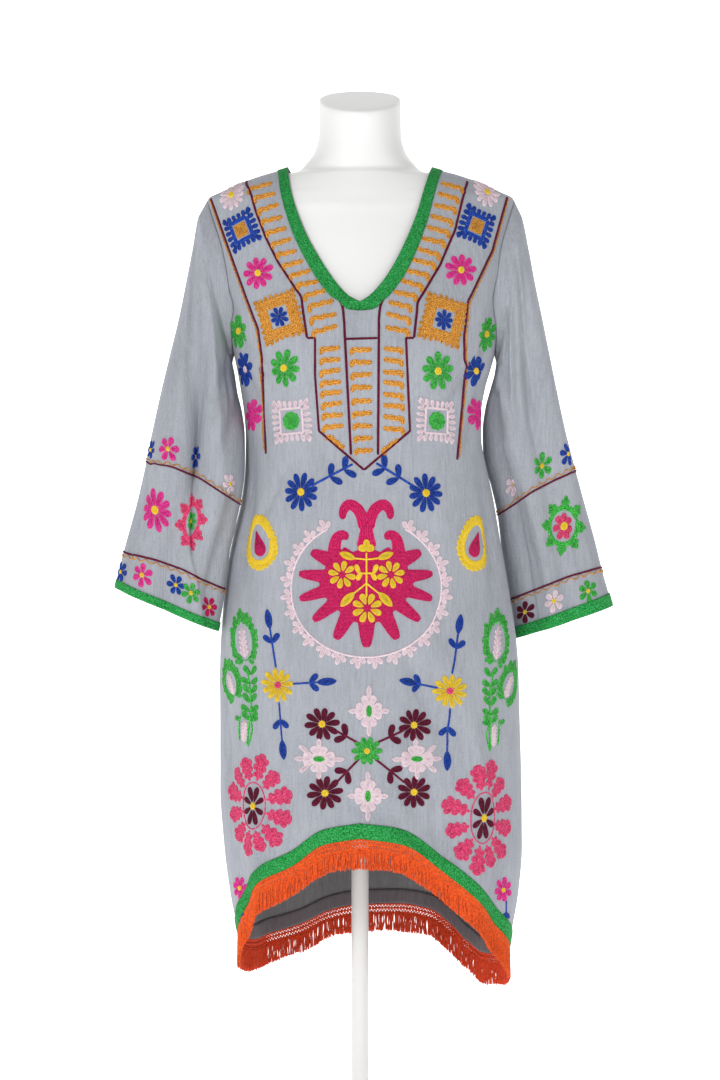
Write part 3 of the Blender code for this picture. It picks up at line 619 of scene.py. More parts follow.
def front_inner(sign, level):
    """(x, z) where a front row ends: on the centre line, or above it on the neck edge."""
    band_tip = V_POINT_Z - V_BAND_DROP
    if level <= LEVELS_BELOW_V - 1:
        return 0.0, UNDERARM_Z + (band_tip - UNDERARM_Z) * level / (LEVELS_BELOW_V - 1)
    if level < LEVELS_BELOW_V:
        return 0.0, band_tip + V_BAND_DROP * (level - LEVELS_BELOW_V + 1)
    share = (level - LEVELS_BELOW_V) / (ARMHOLE_LEVELS - LEVELS_BELOW_V)
    z = V_POINT_Z + (NECK_POINT_Z - V_POINT_Z) * np.sin(QUARTER * share)
    return along(NECK_EDGE, "left" if sign < 0 else "right", z), z


def back_share(level):
    """How far up the back panel a row lies; the last level is the neck band's width."""
    top = 1 - BACK_BAND_SHARE
    return np.interp(level, [0, ARMHOLE_LEVELS - 1, ARMHOLE_LEVELS], [0, top, 1])


def row_columns(level, back):
    """Places of the grid columns across a row, from its outer end at 0 to its inner one at 1."""
    if back:
        return np.linspace(0, 1, BACK_COLUMNS + 1)
    up = (level - LEVELS_BELOW_V) / (ARMHOLE_LEVELS - LEVELS_BELOW_V)
    below = np.clip(level - LEVELS_BELOW_V + 1, 0, 1)
    band = max(np.interp(up, BAND_STATIONS, BAND_SHARES) * below**0.4, 0.008)
    main = np.linspace(0, 1 - band, PANEL_COLUMNS + 1)
    return np.append(main, np.linspace(1 - band, 1, BAND_COLUMNS + 1)[1:])


def skirt_row(sign, back, row):
    """Points of a row below the underarm; the lowest rows lie under the hem band."""
    c = row_columns(0, back)
    angle = sign * (QUARTER + c * QUARTER) if back else sign * (QUARTER - c * QUARTER)
    low = hem_z(np.where(angle == 0, sign * 1e-9, angle), back)
    middle = (hem_z(angle, back) + hem_z(-angle, back)) / 2
    low = np.where(c == 1, middle, low)
    band_top = low + HEM_BAND_WIDTH
    if row <= HEM_BAND_ROWS:
        return body_point(angle, low + HEM_BAND_WIDTH * row / HEM_BAND_ROWS)
    share = (row - HEM_BAND_ROWS) / (SKIRT_ROWS - HEM_BAND_ROWS)
    return body_point(angle, band_top + (UNDERARM_Z - band_top) * share)


def bodice_row(sign, back, level):
    """Points of a row between the underarm and the shoulder, spanned from its four edges."""
    c = row_columns(level, back)
    share = (1 - np.cos(np.pi * level / ARMHOLE_LEVELS)) / 2
    s = back_share(level) if back else share
    outer_angle, outer_z = armhole_edge(sign, back, share)
    outer_x = np.abs(body_point(outer_angle, outer_z)[0])
    inner_x, inner_z = front_inner(sign, level)
    if back:
        inner_x, inner_z = 0.0, UNDERARM_Z + (NECK_POINT_Z - BACK_NECK_DROP - UNDERARM_Z) * s
    low_x = np.abs(body_point(sign * QUARTER * (1 - c), UNDERARM_Z)[:, 0])
    top_x, top_z = back_top(sign, c) if back else front_top(sign, c)
    x = (1 - s) * low_x + s * top_x
    x += (1 - c) * (outer_x - (1 - s) * low_x[0] - s * top_x[0])
    x += c * (inner_x - s * top_x[-1])
    z = (1 - s) * UNDERARM_Z + s * top_z
    z += (1 - c) * (outer_z - (1 - s) * UNDERARM_Z - s * top_z[0])
    z += c * (inner_z - (1 - s) * UNDERARM_Z - s * top_z[-1])
    angle = angle_at(sign, x, z)
    angle = sign * np.pi - angle if back else angle
    angle[0] = outer_angle
    return body_point(angle, z)


def angle_at(sign, x, z):
    """The angle round the front at a distance from the middle, folds left out."""
    power = along(BODY, "power", z)
    return sign * np.arcsin(np.clip(np.abs(x) / body_reach(sign, z), 0, 1) ** (power / 2))


def grid_normals(points, closed=False):
    """Outward directions of a grid whose columns run to the right and rows run up."""
    if closed:
        wrapped = np.concatenate([points[:, -1:], points, points[:, :1]], axis=1)
        across = wrapped[:, 2:] - wrapped[:, :-2]
    else:
        across = np.gradient(points, axis=1)
    return unit(np.cross(across, np.gradient(points, axis=0)))


def panel_grid(back):
    """The front or back panel, columns running to the right as seen from its own side."""
    halves = []
    levels = np.arange(1, ARMHOLE_LEVELS * ROWS_PER_LEVEL + 1) / ROWS_PER_LEVEL
    for sign in (-1, 1):
        rows = [skirt_row(sign, back, row) for row in range(SKIRT_ROWS + 1)]
        rows += [bodice_row(sign, back, level) for level in levels]
        halves.append(np.array(rows))
    left, right = halves
    if back:
        left, right = right, left
    return left, right[:, ::-1]


def sleeve_ring(sign, t, phi):
    """Points of the sleeve's surface at places along it and angles from its outer line."""
    table = LEFT_SLEEVE if sign < 0 else RIGHT_SLEEVE
    t, phi = np.broadcast_arrays(np.asarray(t, float), np.asarray(phi, float))
    stations = np.arange(len(table), dtype=float)
    place = np.maximum(t, 1.0)
    outer_x, outer_z, inner_x, inner_z, middle_y, depth = (
        smooth(place, stations, column(table, name)) for name in Ring._fields
    )
    middle = np.stack([sign * (outer_x + inner_x) / 2, middle_y, (outer_z + inner_z) / 2], axis=-1)
    reach = np.stack([sign * outer_x, middle_y, outer_z], axis=-1) - middle
    forward = np.stack([0 * depth, -depth, 0 * depth], axis=-1)
    ring = middle + reach * np.cos(phi)[..., None] + forward * np.sin(phi)[..., None]
    share = t / (len(table) - 1)
    inward = -unit(ring - middle)
    degrees = np.degrees(phi)
    for fold in LEFT_SLEEVE_FOLDS if sign < 0 else RIGHT_SLEEVE_FOLDS:
        grown = fold.depth * ease((share - fold.start) / 0.25)
        ring = ring + inward * (grown * trough(degrees, fold, share))[..., None]
    for crease in LEFT_SLEEVE_CREASES if sign < 0 else RIGHT_SLEEVE_CREASES:
        part = (share - crease.start) / (crease.end - crease.start)
        ring = ring + inward * crease_depth(degrees, crease, part)[..., None]
    blend = np.minimum(t, 1.0)[..., None]
    return armhole_loop(sign, phi) * (1 - blend) + ring * blend


def armhole_loop(sign, phi):
    """Points of the armhole edge at angles from the shoulder tip, round by the front."""
    share = (1 + np.cos(phi)) / 2
    front = body_point(*armhole_edge(sign, False, share))
    back = body_point(*armhole_edge(sign, True, share))
    return np.where((phi > np.pi)[..., None], back, front)


class Seam(NamedTuple):
    """The armhole seam round one side: the panels' rim and, a gap away, the sleeve's rim."""

    panel_inner: np.ndarray
    sleeve_outer: np.ndarray
    sleeve_inner: np.ndarray


def armhole_seam(sign, phi):
    """Rims that split the corner between the body and the sleeve into two equal halves."""
    share = (1 + np.cos(phi)) / 2
    angle_front, z = armhole_edge(sign, False, share)
    angle_back, z = armhole_edge(sign, True, share)
    angle = np.where(phi > np.pi, angle_back, angle_front)
    edge = body_point(angle, z)
    body_out = body_normal(angle, z)
    tangent = unit(np.roll(edge, -1, axis=0) - np.roll(edge, 1, axis=0))
    leave = sleeve_ring(sign, 0.3, phi) - edge
    sleeve_out = unit(np.cross(tangent, leave)) * sign
    inward = -unit(body_out + sleeve_out)
    for _ in range(ROWS_PER_LEVEL * 3):
        inward = unit(2 * inward + np.roll(inward, 1, axis=0) + np.roll(inward, -1, axis=0))
    aside = leave - inward * np.sum(leave * inward, axis=1)[:, None]
    aside = unit(aside - tangent * np.sum(aside * tangent, axis=1)[:, None])
    panel_inner = edge + inward * WALL
    shift = aside * ARMHOLE_GAP
    return Seam(panel_inner, edge + shift, panel_inner + shift)


def add_mesh(name, points, faces, material, stitch=None):
    """A smooth-shaded mesh; stitch gives each point's place along and across its thread rows."""
    mesh = bpy.data.meshes.new(name)
    mesh.from_pydata(np.asarray(points, float), [], [tuple(map(int, face)) for face in faces])
    mesh.update()
    mesh.shade_smooth()
    if stitch is not None:
        rows = mesh.attributes.new("stitch", "FLOAT_VECTOR", "POINT")
        rows.data.foreach_set("vector", np.asarray(stitch, np.float32).ravel())
    mesh.materials.append(material)
    thing = bpy.data.objects.new(name, mesh)
    bpy.context.scene.collection.objects.link(thing)
    return thing


def grid_faces(rows, columns, first=0, closed=False):
    """Quads of a grid of point numbers, the points listed row by row."""
    i, j = np.meshgrid(np.arange(rows - 1), np.arange(columns - (not closed)), indexing="ij")
    a, b = i * columns + j, i * columns + (j + 1) % columns
    quads = np.stack([a, b, b + columns, a + columns], axis=-1).reshape(-1, 4)
    return quads + first


def wall(outer, inner, quads):
    """Points and faces of a closed wall between two copies of a sheet."""
    used = np.unique(quads)
    place = np.full(used.max() + 1, -1)
    place[used] = np.arange(len(used))
    faces = place[quads]
    edges = {(int(f[k]), int(f[(k + 1) % 4])) for f in faces for k in range(4)}
    count = len(used)
    rim = [(b, a, a + count, b + count) for a, b in sorted(edges) if (b, a) not in edges]
    every = [tuple(f) for f in faces] + [tuple(f[::-1] + count) for f in faces] + rim
    return np.concatenate([outer[used], inner[used]]), every, used


def on_one_side(points, back):
    """Keeps a panel's points on its own side of the side and shoulder seams."""
    limit = SEAM_GAP / 2
    points = points.copy()
    y = points[..., 1]
    points[..., 1] = np.maximum(y, limit) if back else np.minimum(y, -limit)
    return points


class Sheet(NamedTuple):
    """A panel or sleeve: its points and outward directions in one list, and its quads by row."""

    points: np.ndarray
    normals: np.ndarray
    rows: np.ndarray
    quads: np.ndarray


def panel_sheet(back):
    """The panel's two halves joined down the centre line, up to the V in front."""
    left, right = panel_grid(back)
    rows, half = left.shape[0], left.shape[1]
    joined = rows if back else SKIRT_ROWS + LEVELS_BELOW_V * ROWS_PER_LEVEL + 1
    whole = np.concatenate([left[:joined], right[:joined, 1:]], axis=1)
    normals = grid_normals(whole)
    points, directions = [whole.reshape(-1, 3)], [normals.reshape(-1, 3)]
    numbers = np.arange(joined * (2 * half - 1)).reshape(joined, -1)
    quads = [grid_faces(joined, 2 * half - 1)]
    rows_left, rows_right = [numbers[:, :half]], [numbers[:, half - 1 :]]
    if not back:
        first = numbers.size
        for side, grid in ((rows_left, left), (rows_right, right)):
            above = grid[joined - 1 :]
            more = first + np.arange((rows - joined) * half).reshape(-1, half)
            points.append(above[1:].reshape(-1, 3))
            directions.append(grid_normals(above)[1:].reshape(-1, 3))
            strip = np.concatenate([side[0][-1:], more])
            a, b = strip[:-1, :-1], strip[:-1, 1:]
            c, d = strip[1:, 1:], strip[1:, :-1]
            quads.append(np.stack([a, b, c, d], axis=-1).reshape(-1, 4))
            side.append(more)
            first += more.size
    rows_left, rows_right = np.concatenate(rows_left), np.concatenate(rows_right)
    both = np.stack([rows_left, rows_right[:, ::-1]])
    return Sheet(np.concatenate(points), np.concatenate(directions), both, np.concatenate(quads))


def paint_shade_inside(piece, quads, material):
    """Gives the inner side of a cloth wall a darker copy of the cloth: painted shade."""
    piece.data.materials.append(material)
    for polygon in piece.data.polygons[len(quads) : 2 * len(quads)]:
        polygon.material_index = 1
    return piece


def make_panel(name, back, seams, material, inside):
    """A panel's cloth wall, its armhole rims cut to meet the sleeves'."""
    sheet = panel_sheet(back)
    outer = on_one_side(sheet.points, back)
    inner = on_one_side(sheet.points - sheet.normals * WALL, back)
    steps = ARMHOLE_LEVELS * ROWS_PER_LEVEL
    for half, numbers in enumerate(sheet.rows):
        sign = (1 - 2 * half if back else 2 * half - 1)
        for step in range(steps + 1):
            place = steps + step if back else steps - step
            inner[numbers[SKIRT_ROWS + step, 0]] = seams[sign].panel_inner[place % (2 * steps)]
    points, faces, _ = wall(outer, inner, sheet.quads)
    return sheet, paint_shade_inside(add_mesh(name, points, faces, material), sheet.quads, inside)


def band_stitches(points, columns_across):
    """Thread places of a band's grid: along it in stitches, across it in rows of thread."""
    run = np.linalg.norm(np.diff(points, axis=0), axis=-1).mean(axis=1)
    run = np.concatenate([[0], np.cumsum(run)]) / STITCH_LENGTH
    width = np.linalg.norm(np.diff(points, axis=1), axis=-1).sum(axis=1).max()
    rows = max(round(width / STITCH_ROW), 2)
    across = np.linspace(0, rows, columns_across)
    return np.stack(np.broadcast_arrays(run[:, None], across[None, :], 0.0), axis=-1)


def make_band(name, sheet, blocks, material, back=None, inside=False):
    """A stitched band on a sheet: each block is a grid of point numbers, rows along the band."""
    points, faces, stitch = [], [], []
    first = 0
    for numbers in blocks:
        at, out = sheet.points[numbers], sheet.normals[numbers]
        across = np.linspace(-1, 1, numbers.shape[1])
        crown = TRIM_WALL * (1 - 0.2 * across**4)[None, :, None]
        if inside:
            outer, inner = at - out * (WALL + TRIM_GAP), at - out * (WALL + TRIM_GAP + crown)
        else:
            outer, inner = at + out * (TRIM_GAP + crown), at + out * TRIM_GAP
        if back is not None:
            outer, inner = on_one_side(outer, back), on_one_side(inner, back)
        rows, columns = numbers.shape
        quads = grid_faces(rows, columns)
        a = outer.reshape(-1, 3)[quads[0]]
        facing = np.dot(np.cross(a[1] - a[0], a[2] - a[1]), out.reshape(-1, 3)[quads[0][0]])
        if facing < 0:
            quads = quads[:, ::-1]
        block_points, block_faces, used = wall(outer.reshape(-1, 3), inner.reshape(-1, 3), quads)
        points.append(block_points)
        faces += [tuple(number + first for number in face) for face in block_faces]
        places = band_stitches(at, columns).reshape(-1, 3)[used]
        stitch.append(np.concatenate([places, places]))
        first += len(block_points)
    return add_mesh(name, np.concatenate(points), faces, material, np.concatenate(stitch))


def neck_blocks(sheet, back):
    """The point numbers under the neck band, a block a side, rows along the band."""
    if not back:
        low = SKIRT_ROWS + (LEVELS_BELOW_V - 1) * ROWS_PER_LEVEL
        return [numbers[low:, -BAND_COLUMNS - 1 :] for numbers in sheet.rows]
    corner = round(BACK_COLUMNS * BACK_CORNER_SHARE)
    return [numbers[-ROWS_PER_LEVEL - 1 :, corner - BAND_COLUMNS :].T for numbers in sheet.rows]


def hem_block(sheet):
    """The point numbers under the hem band, rows along the band."""
    left, right = sheet.rows[0][: HEM_BAND_ROWS + 1], sheet.rows[1][: HEM_BAND_ROWS + 1]
    return np.concatenate([left, right[:, ::-1][:, 1:]], axis=1).T


def make_sleeve(name, sign, phi, seam, material, inside):
    """A sleeve's cloth wall and its sheet, rows from the armhole to the cuff."""
    last = len(LEFT_SLEEVE) - 1
    cuff = np.linspace(last - CUFF_BAND_SHARE, last, 7)
    t = np.concatenate([np.linspace(0, 1, 10)[:-1], np.linspace(1, cuff[0], SLEEVE_ROWS)[:-1], cuff])
    points = sleeve_ring(sign, t[:, None], phi[None, :])
    normals = grid_normals(points, closed=True)
    middle = points.mean(axis=1, keepdims=True)
    outwards = np.sign(np.sum((points - middle) * normals, axis=-1).mean())
    normals = normals * outwards
    outer, inner = points.copy(), points - normals * WALL
    outer[0], inner[0] = seam.sleeve_outer, seam.sleeve_inner
    rows, columns = points.shape[:2]
    quads = grid_faces(rows, columns, closed=True)
    if outwards > 0:
        quads = quads[:, ::-1]
    flat_points, faces, _ = wall(outer.reshape(-1, 3), inner.reshape(-1, 3), quads)
    numbers = np.arange(rows * columns).reshape(rows, columns)
    sheet = Sheet(points.reshape(-1, 3), normals.reshape(-1, 3), numbers, quads)
    return sheet, paint_shade_inside(add_mesh(name, flat_points, faces, material), quads, inside)


def cuff_block(sheet):
    """The point numbers under the cuff band, closed round the sleeve, rows along the band."""
    low = sheet.rows[-7:]
    return np.concatenate([low, low[:, :1]], axis=1).T


def form_ring(section, angle):
    """Points round the dress form at one of its sections."""
    sine, cosine = np.sin(angle), np.cos(angle)
    share = 2 / section.power
    reach_y = np.where(cosine > 0, section.front, section.back)
    x = section.half * np.sign(sine) * np.abs(sine) ** share
    y = -reach_y * np.sign(cosine) * np.abs(cosine) ** share
    return np.stack([x, y, section.z + section.slope * y], axis=-1)


def make_dress_form(material):
    """The limbless form, smooth all round, with a slightly crowned neck cap and a soft rim."""
    angle = np.arange(FORM_RING) * 2 * np.pi / FORM_RING
    rings = [form_ring(section, angle) for section in FORM_BODY]
    slack = FRONT_SLACK + (BACK_SLACK - FRONT_SLACK) * ease(-6 * np.cos(angle))
    for z in SHOULDER_LEVELS:
        rings.append(body_point(angle, z) - body_normal(angle, z) * (WALL + slack)[:, None])
    rings += [form_ring(section, angle) for section in FORM_NECK]
    stations = np.arange(len(rings), dtype=float)
    fine = np.linspace(0, len(rings) - 1, 6 * (len(rings) - 1) + 1)
    stack = np.array(rings)
    flat = [smooth(fine, stations, stack[:, k, axis]) for k in range(FORM_RING) for axis in range(3)]
    body = np.array(flat).reshape(FORM_RING, 3, -1).transpose(2, 0, 1)
    rim = body[-1]
    middle = rim.mean(axis=0)
    cap = [(0.985, 0.0018), (0.955, 0.0030), (0.92, 0.0034), (0.6, 0.0040), (0.25, 0.0043)]
    crown = [middle + (rim - middle) * share + np.array([0, 0, up]) for share, up in cap]
    base = [body[0].mean(axis=0) + (body[0] - body[0].mean(axis=0)) * share for share in (0.02, 0.9)]
    grid = np.concatenate([np.array(base), body, np.array(crown)])
    faces = [tuple(quad) for quad in grid_faces(len(grid), FORM_RING, closed=True)]
    faces.append(tuple(range(FORM_RING))[::-1])
    faces.append(tuple((len(grid) - 1) * FORM_RING + k for k in range(FORM_RING)))
    return add_mesh("smooth_form", grid.reshape(-1, 3), faces, material)


def tubes(paths, radii, outward, sides=5):
    """Points and quads of many round yarns; paths is (yarn, station, xyz)."""
    along_yarn = unit(np.gradient(paths, axis=1))
    aside = unit(np.cross(along_yarn, outward[:, None, :]))
    front = np.cross(aside, along_yarn)
    turn = np.arange(sides) * 2 * np.pi / sides
    ring = aside[:, :, None] * np.cos(turn)[:, None] + front[:, :, None] * np.sin(turn)[:, None]
    points = paths[:, :, None] + ring * np.broadcast_to(radii, paths.shape[:2])[..., None, None]
    yarns, stations = paths.shape[:2]
    quads = grid_faces(stations, sides, closed=True)[:, ::-1]
    ends = [tuple(range(sides)), tuple(range((stations - 1) * sides, stations * sides))[::-1]]
    faces = []
    for k in range(yarns):
        first = k * stations * sides
        faces += [tuple(face) for face in quads + first]
        faces += [tuple(number + first for number in end) for end in ends]
    return points.reshape(-1, 3), faces


class Hem(NamedTuple):
    """A line along the cloth's lower edge: its points, outward directions and distances along it."""

    points: np.ndarray
    outward: np.ndarray
    run: np.ndarray


def hem_line(sheet, back):
    """The middle of the cloth's thickness along a panel's lower edge."""
    numbers = hem_block(sheet)[:, 0]
    out = sheet.normals[numbers]
    points = on_one_side(sheet.points[numbers] - out * WALL / 2, back)
    return Hem(points, out, distances(points))


def on_hem(hem, at):
    """Points and outward directions at distances along a hem."""
    return at_distances(at, hem.run, hem.points), unit(at_distances(at, hem.run, hem.outward))


def make_fringe(name, hem, material, seed):
    """Crocheted header of three cords joined by leaning loops, with cut yarns hanging from it."""
    chance = np.random.default_rng(seed)
    length = hem.run[-1]
    points, faces = [], []

    def keep(paths, radii, outward, sides):
        more, quads = tubes(paths, radii, outward, sides)
        first = sum(len(block) for block in points)
        points.append(more)
        faces.extend(tuple(number + first for number in quad) for quad in quads)

    fine = np.arange(0.0015, length - 0.001, 0.0012)
    base, outward = on_hem(hem, fine)
    for level in CORD_DROPS:
        wave = 0.00045 * np.sin(fine * 2 * np.pi / 0.0031 + level * 900)
        cord = base + DOWN * (level + wave)[:, None]
        swell = CORD_RADIUS * (1 + 0.22 * np.sin(fine * 2 * np.pi / 0.0027 + level * 700))
        keep(cord[None], swell[None], -outward.mean(axis=0)[None], 6)
    for top, low, shift in zip(CORD_DROPS, CORD_DROPS[1:], (0.0, LOOP_SPACING)):
        at = np.arange(0.003 + shift, length - 0.003, LOOP_SPACING)
        lean = np.where(np.arange(len(at)) % 2 == 0, 0.0010, -0.0010)
        heights = np.linspace(top, low, 4)
        paths = []
        for f, height in zip(np.linspace(-1, 1, 4), heights):
            spot, out = on_hem(hem, at + lean * f)
            paths.append(spot + out * 0.0005 * (1 - f * f) + DOWN * height)
        keep(np.stack(paths, axis=1), np.full(4, LOOP_RADIUS), out, 5)
    count = int(length / STRAND_SPACING)
    for layer in (0, 1):
        at = (np.arange(count) + 0.5 * layer + 0.25) / count * (length - 0.003) + 0.0015
        clump = np.sin(at * 2 * np.pi / 0.0075 + chance.uniform(0, 6))
        gather = clump * 0.0011 + chance.normal(0, 0.0006, count)
        root, out = on_hem(hem, at)
        sway = chance.normal(0, 0.0011, count) + 0.0014 * np.sin(at * 60 + layer)
        longer = STRAND_LENGTH + 0.0055 * np.abs(2 * at / length - 1) ** 1.5
        reach = longer + chance.normal(0, 0.0009, count) + 0.0012 * np.sin(at * 95)
        reach = np.clip(reach, longer - 0.004, longer + 0.002) - CORD_DROPS[-1]
        tangent = unit(np.gradient(root, axis=0))
        stations = np.linspace(0, 1, 8)
        paths = []
        for f in stations:
            aside = gather * np.sin(np.pi * min(f * 1.3, 1)) + sway * f**1.5
            push = (layer - 0.5) * 0.0017 * (0.4 + f) + chance.normal(0, 0.00022, count)
            drop = CORD_DROPS[-1] + (HEADER_HEIGHT - CORD_DROPS[-1] + reach + 0.012) * f
            spot = root + tangent * aside[:, None] + out * push[:, None]
            paths.append(spot + DOWN * np.reshape(drop, (-1, 1)))
        thick = YARN_RADIUS * (1 + 0.18 * np.sin(stations * 40 + layer)) * (1 - 0.25 * stations**4)
        keep(np.stack(paths, axis=1), thick, out, 4)
    return add_mesh(name, np.concatenate(points), faces, material)


class Value:
    """A shader socket whose arithmetic adds Math nodes."""

    def __init__(self, tree, socket):
        self.tree = tree
        self.socket = socket

    def math(self, operation, *others):
        made = self.tree.nodes.new("ShaderNodeMath")
        made.operation = operation
        for socket, value in zip(made.inputs, (self, *others)):
            join(self.tree, socket, value)
        return Value(self.tree, made.outputs[0])

    def __add__(self, other):
        return self.math("ADD", other)

    def __sub__(self, other):
        return self.math("SUBTRACT", other)

    def __rsub__(self, other):
        return (self * -1) + other

    def __mul__(self, other):
        return self.math("MULTIPLY", other)

    def __truediv__(self, other):
        return self.math("DIVIDE", other)

    def __pow__(self, other):
        return self.math("POWER", other)

    __radd__ = __add__
    __rmul__ = __mul__

    def fraction(self):
        return self.math("FRACT")

    def whole(self):
        return self.math("FLOOR")

    def sine(self):
        return self.math("SINE")

    def size(self):
        return self.math("ABSOLUTE")

    def clamp(self):
        return self.math("MAXIMUM", 0.0).math("MINIMUM", 1.0)


def join(tree, socket, value):
    """Puts a number, colour or another node's output into a socket."""
    if isinstance(value, Value):
        tree.links.new(value.socket, socket)
    else:
        socket.default_value = value


def add_node(tree, kind, settings=None, **inputs):
    """A shader node with its settings made first, then its sockets by name."""
    made = tree.nodes.new(kind)
    for name, value in (settings or {}).items():
        setattr(made, name, value)
    for name, value in inputs.items():
        label = name.replace("_", " ")
        socket = next(s for s in made.inputs if s.name.lower() == label and s.enabled)
        join(tree, socket, value)
    return made


def output(tree, made, name):
    """A node's output by name as a value that can be worked with."""
    return Value(tree, next(s for s in made.outputs if s.name == name and s.enabled))


def mix_colour(tree, share, first, second):
    settings = {"data_type": "RGBA"}
    made = add_node(tree, "ShaderNodeMix", settings, factor=share, a=first, b=second)
    return output(tree, made, "Result")


class Finish(NamedTuple):
    """A new material, its node tree and its main shader."""

    material: bpy.types.Material
    tree: bpy.types.NodeTree
    shader: bpy.types.Node


def new_finish(name, roughness, sheen=0.0):
    material = bpy.data.materials.new(name)
    material.use_nodes = True
    tree = material.node_tree
    shader = tree.nodes["Principled BSDF"]
    shader.inputs["Roughness"].default_value = roughness
    shader.inputs["Sheen Weight"].default_value = sheen
    shader.inputs["Sheen Roughness"].default_value = 0.5
    return Finish(material, tree, shader)


def noise(tree, vector, scale, detail=2.0, roughness=0.5):
    made = add_node(
        tree, "ShaderNodeTexNoise", None,
        vector=vector, scale=scale, detail=detail, roughness=roughness,
    )
    return output(tree, made, "Factor" if "Factor" in made.outputs else "Fac")


def object_place(tree, stretch=(1.0, 1.0, 1.0)):
    """Place on the object in metres, stretched along its axes."""
    place = output(tree, tree.nodes.new("ShaderNodeTexCoord"), "Object")
    made = tree.nodes.new("ShaderNodeVectorMath")
    made.operation = "MULTIPLY"
    join(tree, made.inputs[0], place)
    made.inputs[1].default_value = stretch
    return output(tree, made, "Vector")


def bump(finish, height, distance, strength=1.0):
    made = add_node(
        finish.tree, "ShaderNodeBump", None, height=height, distance=distance, strength=strength
    )
    finish.tree.links.new(made.outputs["Normal"], finish.shader.inputs["Normal"])


def paint(finish, colour):
    join(finish.tree, finish.shader.inputs["Base Color"], colour)


def crepe_cloth(name, colour, dark):
    """Crinkled gauze: fine upright crinkles, a finer weave, and threads of uneven tone."""
    finish = new_finish(name, 0.92, sheen=0.12)
    tree = finish.tree
    crinkle = noise(tree, object_place(tree, (1, 1, 0.10)), 330.0, 3.0, 0.6)
    weave = noise(tree, object_place(tree, (1, 1, 0.7)), 900.0, 2.0)
    cloudy = noise(tree, object_place(tree, (1, 1, 0.35)), 26.0, 3.0)
    tone = (crinkle - 0.5) * 0.85 + (weave - 0.5) * 1.0 + (cloudy - 0.5) * 0.5 + 0.52
    paint(finish, mix_colour(tree, tone.clamp(), (*dark, 1), (*colour, 1)))
    bump(finish, crinkle + weave * 0.35, 0.0014, 1.0)
    return finish.material


def chain_stitch(name, colour, dark, light):
    """Rows of looped thread of uneven tone, with painted shade in the grooves between rows and loops and
    painted glints on the loops.
    """
    finish = new_finish(name, 0.8)
    finish.shader.inputs["Specular IOR Level"].default_value = 0.2
    tree = finish.tree
    rows = add_node(tree, "ShaderNodeAttribute", {"attribute_name": "stitch"})
    parts = add_node(tree, "ShaderNodeSeparateXYZ", None, vector=output(tree, rows, "Vector"))
    run, across = output(tree, parts, "X"), output(tree, parts, "Y")
    jitter = noise(tree, object_place(tree), 380.0, 2.0) - 0.5
    across = across + jitter * 0.9
    run = run + jitter * 1.6
    hump = (across.fraction() * np.pi).sine()
    loop = ((run + across.whole() * 0.5) * np.pi).sine().size()
    height = hump * (loop ** 0.6 * 0.6 + 0.4)
    thread = noise(tree, object_place(tree), 620.0, 1.0)
    # painted shade: low places between rows and between loops are mixed towards the dark tone
    tone = (height * 0.8 + (thread - 0.5) * 3.0 + 0.40).clamp()
    body = mix_colour(tree, tone, (*dark, 1), (*colour, 1))
    # painted highlight: glints on the raised loops are mixed towards the light tone
    painted_glint = ((height * 0.6 + thread - 0.92) * 4.0).clamp() * 0.8
    paint(finish, mix_colour(tree, painted_glint, body, (*light, 1)))
    bump(finish, height + (thread - 0.5) * 0.8, 0.0010, 1.0)
    return finish.material


def twisted_yarn(name, colour, dark):
    """Soft twisted yarn with uneven dye."""
    finish = new_finish(name, 0.85)
    tree = finish.tree
    strand = noise(tree, object_place(tree, (1, 1, 0.25)), 900.0, 2.0)
    lumps = noise(tree, object_place(tree), 430.0, 2.0)
    tone = ((strand - 0.5) * 1.3 + (lumps - 0.5) * 2.2 + 0.74).clamp()
    paint(finish, mix_colour(tree, tone, (*dark, 1), (*colour, 1)))
    bump(finish, strand, 0.0006, 0.6)
    return finish.material


def smooth_shell(name, colour, low, grain, roughness):
    """Even moulded or painted surface with a faint grain and slight changes of tone."""
    finish = new_finish(name, roughness)
    tree = finish.tree
    cloudy = noise(tree, object_place(tree), 9.0, 3.0)
    fine = noise(tree, object_place(tree), grain, 2.0)
    paint(finish, mix_colour(tree, (cloudy * 0.6 + fine * 0.4).clamp(), (*low, 1), (*colour, 1)))
    bump(finish, fine, 0.0002, 0.12)
    return finish.material


